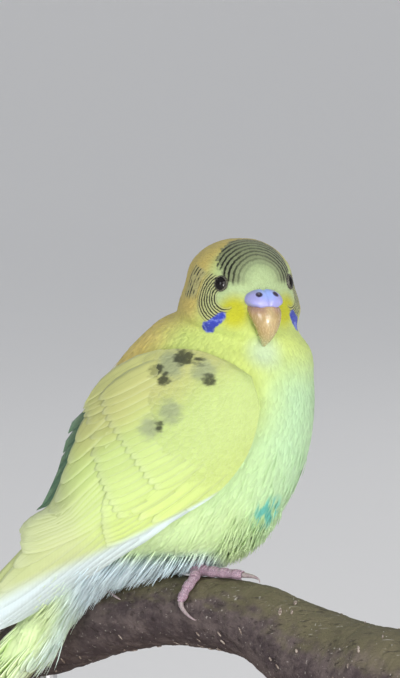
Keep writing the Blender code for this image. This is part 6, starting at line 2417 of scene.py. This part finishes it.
@dataclass(frozen=True)
class Studio:
    """A plain pale floor, soft lights and the camera at the photograph's angle."""

    azimuth: float = math.radians(-82.0)
    elevation: float = math.radians(4.0)
    distance: float = 1.0
    pixels_per_mm: float = 3.9
    image_height: float = 678.0
    sensor: float = 36.0
    raise_target: float = 60.5

    def axes(self) -> tuple[Vector, Vector, Vector]:
        """The ways towards the camera, to its right and up in its picture."""
        a, e = self.azimuth, self.elevation
        back = Vector((math.sin(a) * math.cos(e), -math.cos(a) * math.cos(e), math.sin(e)))
        right = Vector((math.cos(a), math.sin(a), 0.0))
        return back, right, back.cross(right)

    def target(self) -> Vector:
        """The place in the middle of the picture."""
        return Vector(world(np.zeros(3))) + self.axes()[2] * self.raise_target * MM

    def camera(self) -> None:
        """The camera, far enough off to flatten the bird as a long lens does."""
        back, _, _ = self.axes()
        data = bpy.data.cameras.new("camera")
        data.sensor_width = self.sensor
        data.lens = self.sensor * self.distance / (self.image_height / self.pixels_per_mm * MM)
        data.clip_start = 0.05
        data.clip_end = 20.0
        item = bpy.data.objects.new("camera", data)
        item.location = self.target() + back * self.distance
        item.rotation_euler = back.to_track_quat("Z", "Y").to_euler()
        bpy.context.scene.collection.objects.link(item)
        bpy.context.scene.camera = item

    def floor(self) -> None:
        """A wide floor that curves up all round, so that no edge or horizon shows."""
        reach = np.array([0.0, 0.6, 1.2, 1.8, 2.3, 2.8, 3.2, 3.5, 3.7, 3.8])
        height = np.array([0.0, 0.0, 0.0, 0.03, 0.1, 0.26, 0.52, 0.9, 1.4, 2.0])
        turn = np.linspace(0.0, 2 * math.pi, 96, endpoint=False)[None]
        at = np.linspace(0.0, len(reach) - 1.0, 60)
        profile = curve(np.stack([reach, height], -1), at)
        out, up = np.maximum(profile[:, :1], 0.001) / MM, profile[:, 1:] / MM - PERCH_TOP
        shape = Shape()
        shape.grid(np.stack([out * np.cos(turn), BASE_AHEAD + out * np.sin(turn), up + 0.0 * turn], -1),
                   closed=True)
        paint = Paint("floor_paper", 0.9, Specular_IOR_Level=0.2)
        grain = paint.noise(40.0, 3.0)
        paint.bump(grain, 0.2, 0.1)
        colour = paint.scaled(paint.mix((0.90, 0.88, 0.86), (0.86, 0.84, 0.82), grain), grain * 0.05 + 0.97)
        item = shape.piece("floor")
        item.data.materials.append(paint.finish(colour))

    def light(self, name: str, way: tuple, size: float, power: float, colour: Colour,
              distance: float = 1.4) -> None:
        """A large square light, placed by its way from the bird in the camera's terms."""
        back, right, up = self.axes()
        direction = (right * way[0] + up * way[1] + back * way[2]).normalized()
        data = bpy.data.lights.new(name, "AREA")
        data.shape = "SQUARE"
        data.size = size
        data.energy = power
        data.color = colour
        item = bpy.data.objects.new(name, data)
        item.location = self.target() + direction * distance
        item.rotation_euler = direction.to_track_quat("Z", "Y").to_euler()
        bpy.context.scene.collection.objects.link(item)

    def build(self) -> None:
        """Everything that isn't the object."""
        scene = bpy.context.scene
        scene.view_settings.view_transform = "Standard"
        room = bpy.data.worlds.new("room")
        scene.world = room
        room.use_nodes = True
        sky = room.node_tree.nodes["Background"]
        sky.inputs["Color"].default_value = (0.80, 0.84, 0.90, 1.0)
        sky.inputs["Strength"].default_value = 0.62
        self.light("window", (0.5, 0.22, 1.0), 0.8, 8.5, (1.0, 0.985, 0.96))
        self.light("fill", (-0.55, 0.2, 1.0), 0.6, 6.5, (0.95, 0.97, 1.0))
        self.light("bounce", (0.35, -0.14, 1.0), 0.16, 1.8, (1.0, 0.98, 0.95), 0.62)
        self.light("back", (0.5, 0.9, -0.9), 0.9, 2.0, (1.0, 0.99, 0.97))
        self.floor()
        self.camera()


# Building it all


def build_body(marks: Markings, body: Body, feet: Feet, tail: Tail) -> Skin:
    """The skin and the coat of trunk, neck and head."""
    skin = Skin(body, marks)
    item = skin.build(feet, tail)
    finish = CoatFinish().material(marks, body)
    dress(item, finish, "plumage", "torso", "neck", "head", "leg_right", "leg_left")
    coat = Coat(skin)
    quick = 1.0
    last = len(skin.table) - 1.0 + 0.01
    pieces = (
        ("budgie_coat_rump", BODY_VANE, 30000, 0.0, 4.0, 0.32, 31),
        ("budgie_coat_belly", BODY_VANE, 50000, 4.0, 7.0, 0.32, 32),
        ("budgie_coat_breast", BODY_VANE, 60000, 7.0, 9.6, 0.34, 33),
        ("budgie_coat_neck", BODY_VANE, 60000, 9.6, 11.2, 0.38, 34),
        ("budgie_coat_cheeks", FACE_VANE, 70000, 11.2, 13.0, 0.5, 35),
        ("budgie_coat_crown", FACE_VANE, 60000, 13.0, last, 0.5, 36),
    )
    for name, vane, number, low, high, share, seed in pieces:
        layers = coat.head_overlap if vane is FACE_VANE else coat.overlap
        for item in coat.lay(name, vane, int(number * quick), low, high, layers * quick, share, seed):
            dress(item, finish, "plumage")
    dress(coat.wisps("budgie_wisps", int(12000 * quick), 37), finish, "plumage")
    dress(coat.fringe("budgie_fringe", 6000, feet.perch, 38), finish, "plumage")
    return skin


def build_head(skin: Skin, marks: Markings) -> None:
    """Eyes, lids, bill and cere."""
    table, body = skin.table, skin.body
    seats = [EYES.seat(table, body, side) for side in Side]
    wet = EyeFinish().material([spot + out * 0.9 for spot, out in seats])
    grey = LidFinish().material()
    for side in Side:
        node = f"eye_{side.name.lower()}"
        dress(EYES.ball(table, body, side), wet, "eye", node)
        dress(EYES.lids(table, body, side), grey, "foot_skin")
    bill = Bill(body)
    horn = BillFinish().material(marks, body)
    dress(bill.upper(), horn, "horn", "bill_upper")
    dress(bill.lower(), horn, "horn", "bill_lower")
    dress(bill.cere(), CereFinish().material(marks, body, bill), "cere_skin", "cere")
    dark = Paint("budgie_bristle", 0.6)
    grain = dark.noise(0.3)
    dress(bill.bristles(), dark.finish(dark.mix((0.02, 0.018, 0.012), (0.05, 0.045, 0.03), grain)),
          "plumage")


def build_wings(body: Body) -> None:
    """Both wings: arm, large feathers and small coverts."""
    table = body.wing_table()
    finish = WingFinish().material()
    for side in Side:
        name = side.name.lower()
        arm, ground = WINGS.arm(table, side)
        dress(arm.piece(f"budgie_arm_{name}"), finish, "flight_feathers", f"wing_{name}")
        dress(WINGS.flights(table, side).piece(f"budgie_flights_{name}", True), finish,
              "flight_feathers")
        dress(WINGS.coverts(ground, side).piece(f"budgie_coverts_{name}", True), finish,
              "flight_feathers")


def build_tail(tail: Tail) -> None:
    """The tail's long feathers and coverts."""
    along, _, top = tail.axes()
    finish = TailFinish().material(top, along)
    dress(tail.feathers().piece("budgie_tail", True), finish, "flight_feathers", "tail")
    dress(tail.coverts().piece("budgie_tail_coverts", True), finish, "flight_feathers")


def build_feet(feet: Feet) -> None:
    """Skin, plates and claws of both feet."""
    skin = FootFinish().material()
    horn = ClawFinish().material()
    for foot in feet.feet:
        name = foot.side.name.lower()
        dress(foot.skin(), skin, "foot_skin", f"foot_{name}")
        dress(foot.scutes(), skin, "foot_skin")
        for claw, toe in zip(foot.claws(), foot.toes):
            dress(claw, horn, "horn", f"claw_{name}_{toe[0]}")


def build_stand(perch: Perch) -> None:
    """The branch, its lenticels, and the stand's nodes in better materials."""
    dress(perch.build(), BarkFinish().material(perch), "bark", "perch")
    dress(Lenticels(perch).build(), LenticelFinish().material(), "bark")
    wood = WoodFinish().material()
    steel = SteelFinish().material()
    for node, material in (("stand_base", wood), ("stand_rod_front", steel), ("stand_rod_rear", steel)):
        slots = frame["nodes"][node].material_slots
        for slot in slots:
            slot.material = material
    dress(Stand(perch).collars(), steel, "stand_metal")


def main() -> None:
    """Builds every sub-assembly in order."""
    logging.basicConfig(level=logging.INFO)
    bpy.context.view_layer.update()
    marks, body, perch, tail = Markings(), Body(), Perch(), Tail()
    feet = Feet(perch)
    skin = build_body(marks, body, feet, tail)
    build_head(skin, marks)
    build_wings(body)
    build_tail(tail)
    build_feet(feet)
    build_stand(perch)
    Studio().build()


if __name__ == "__main__":
    main()
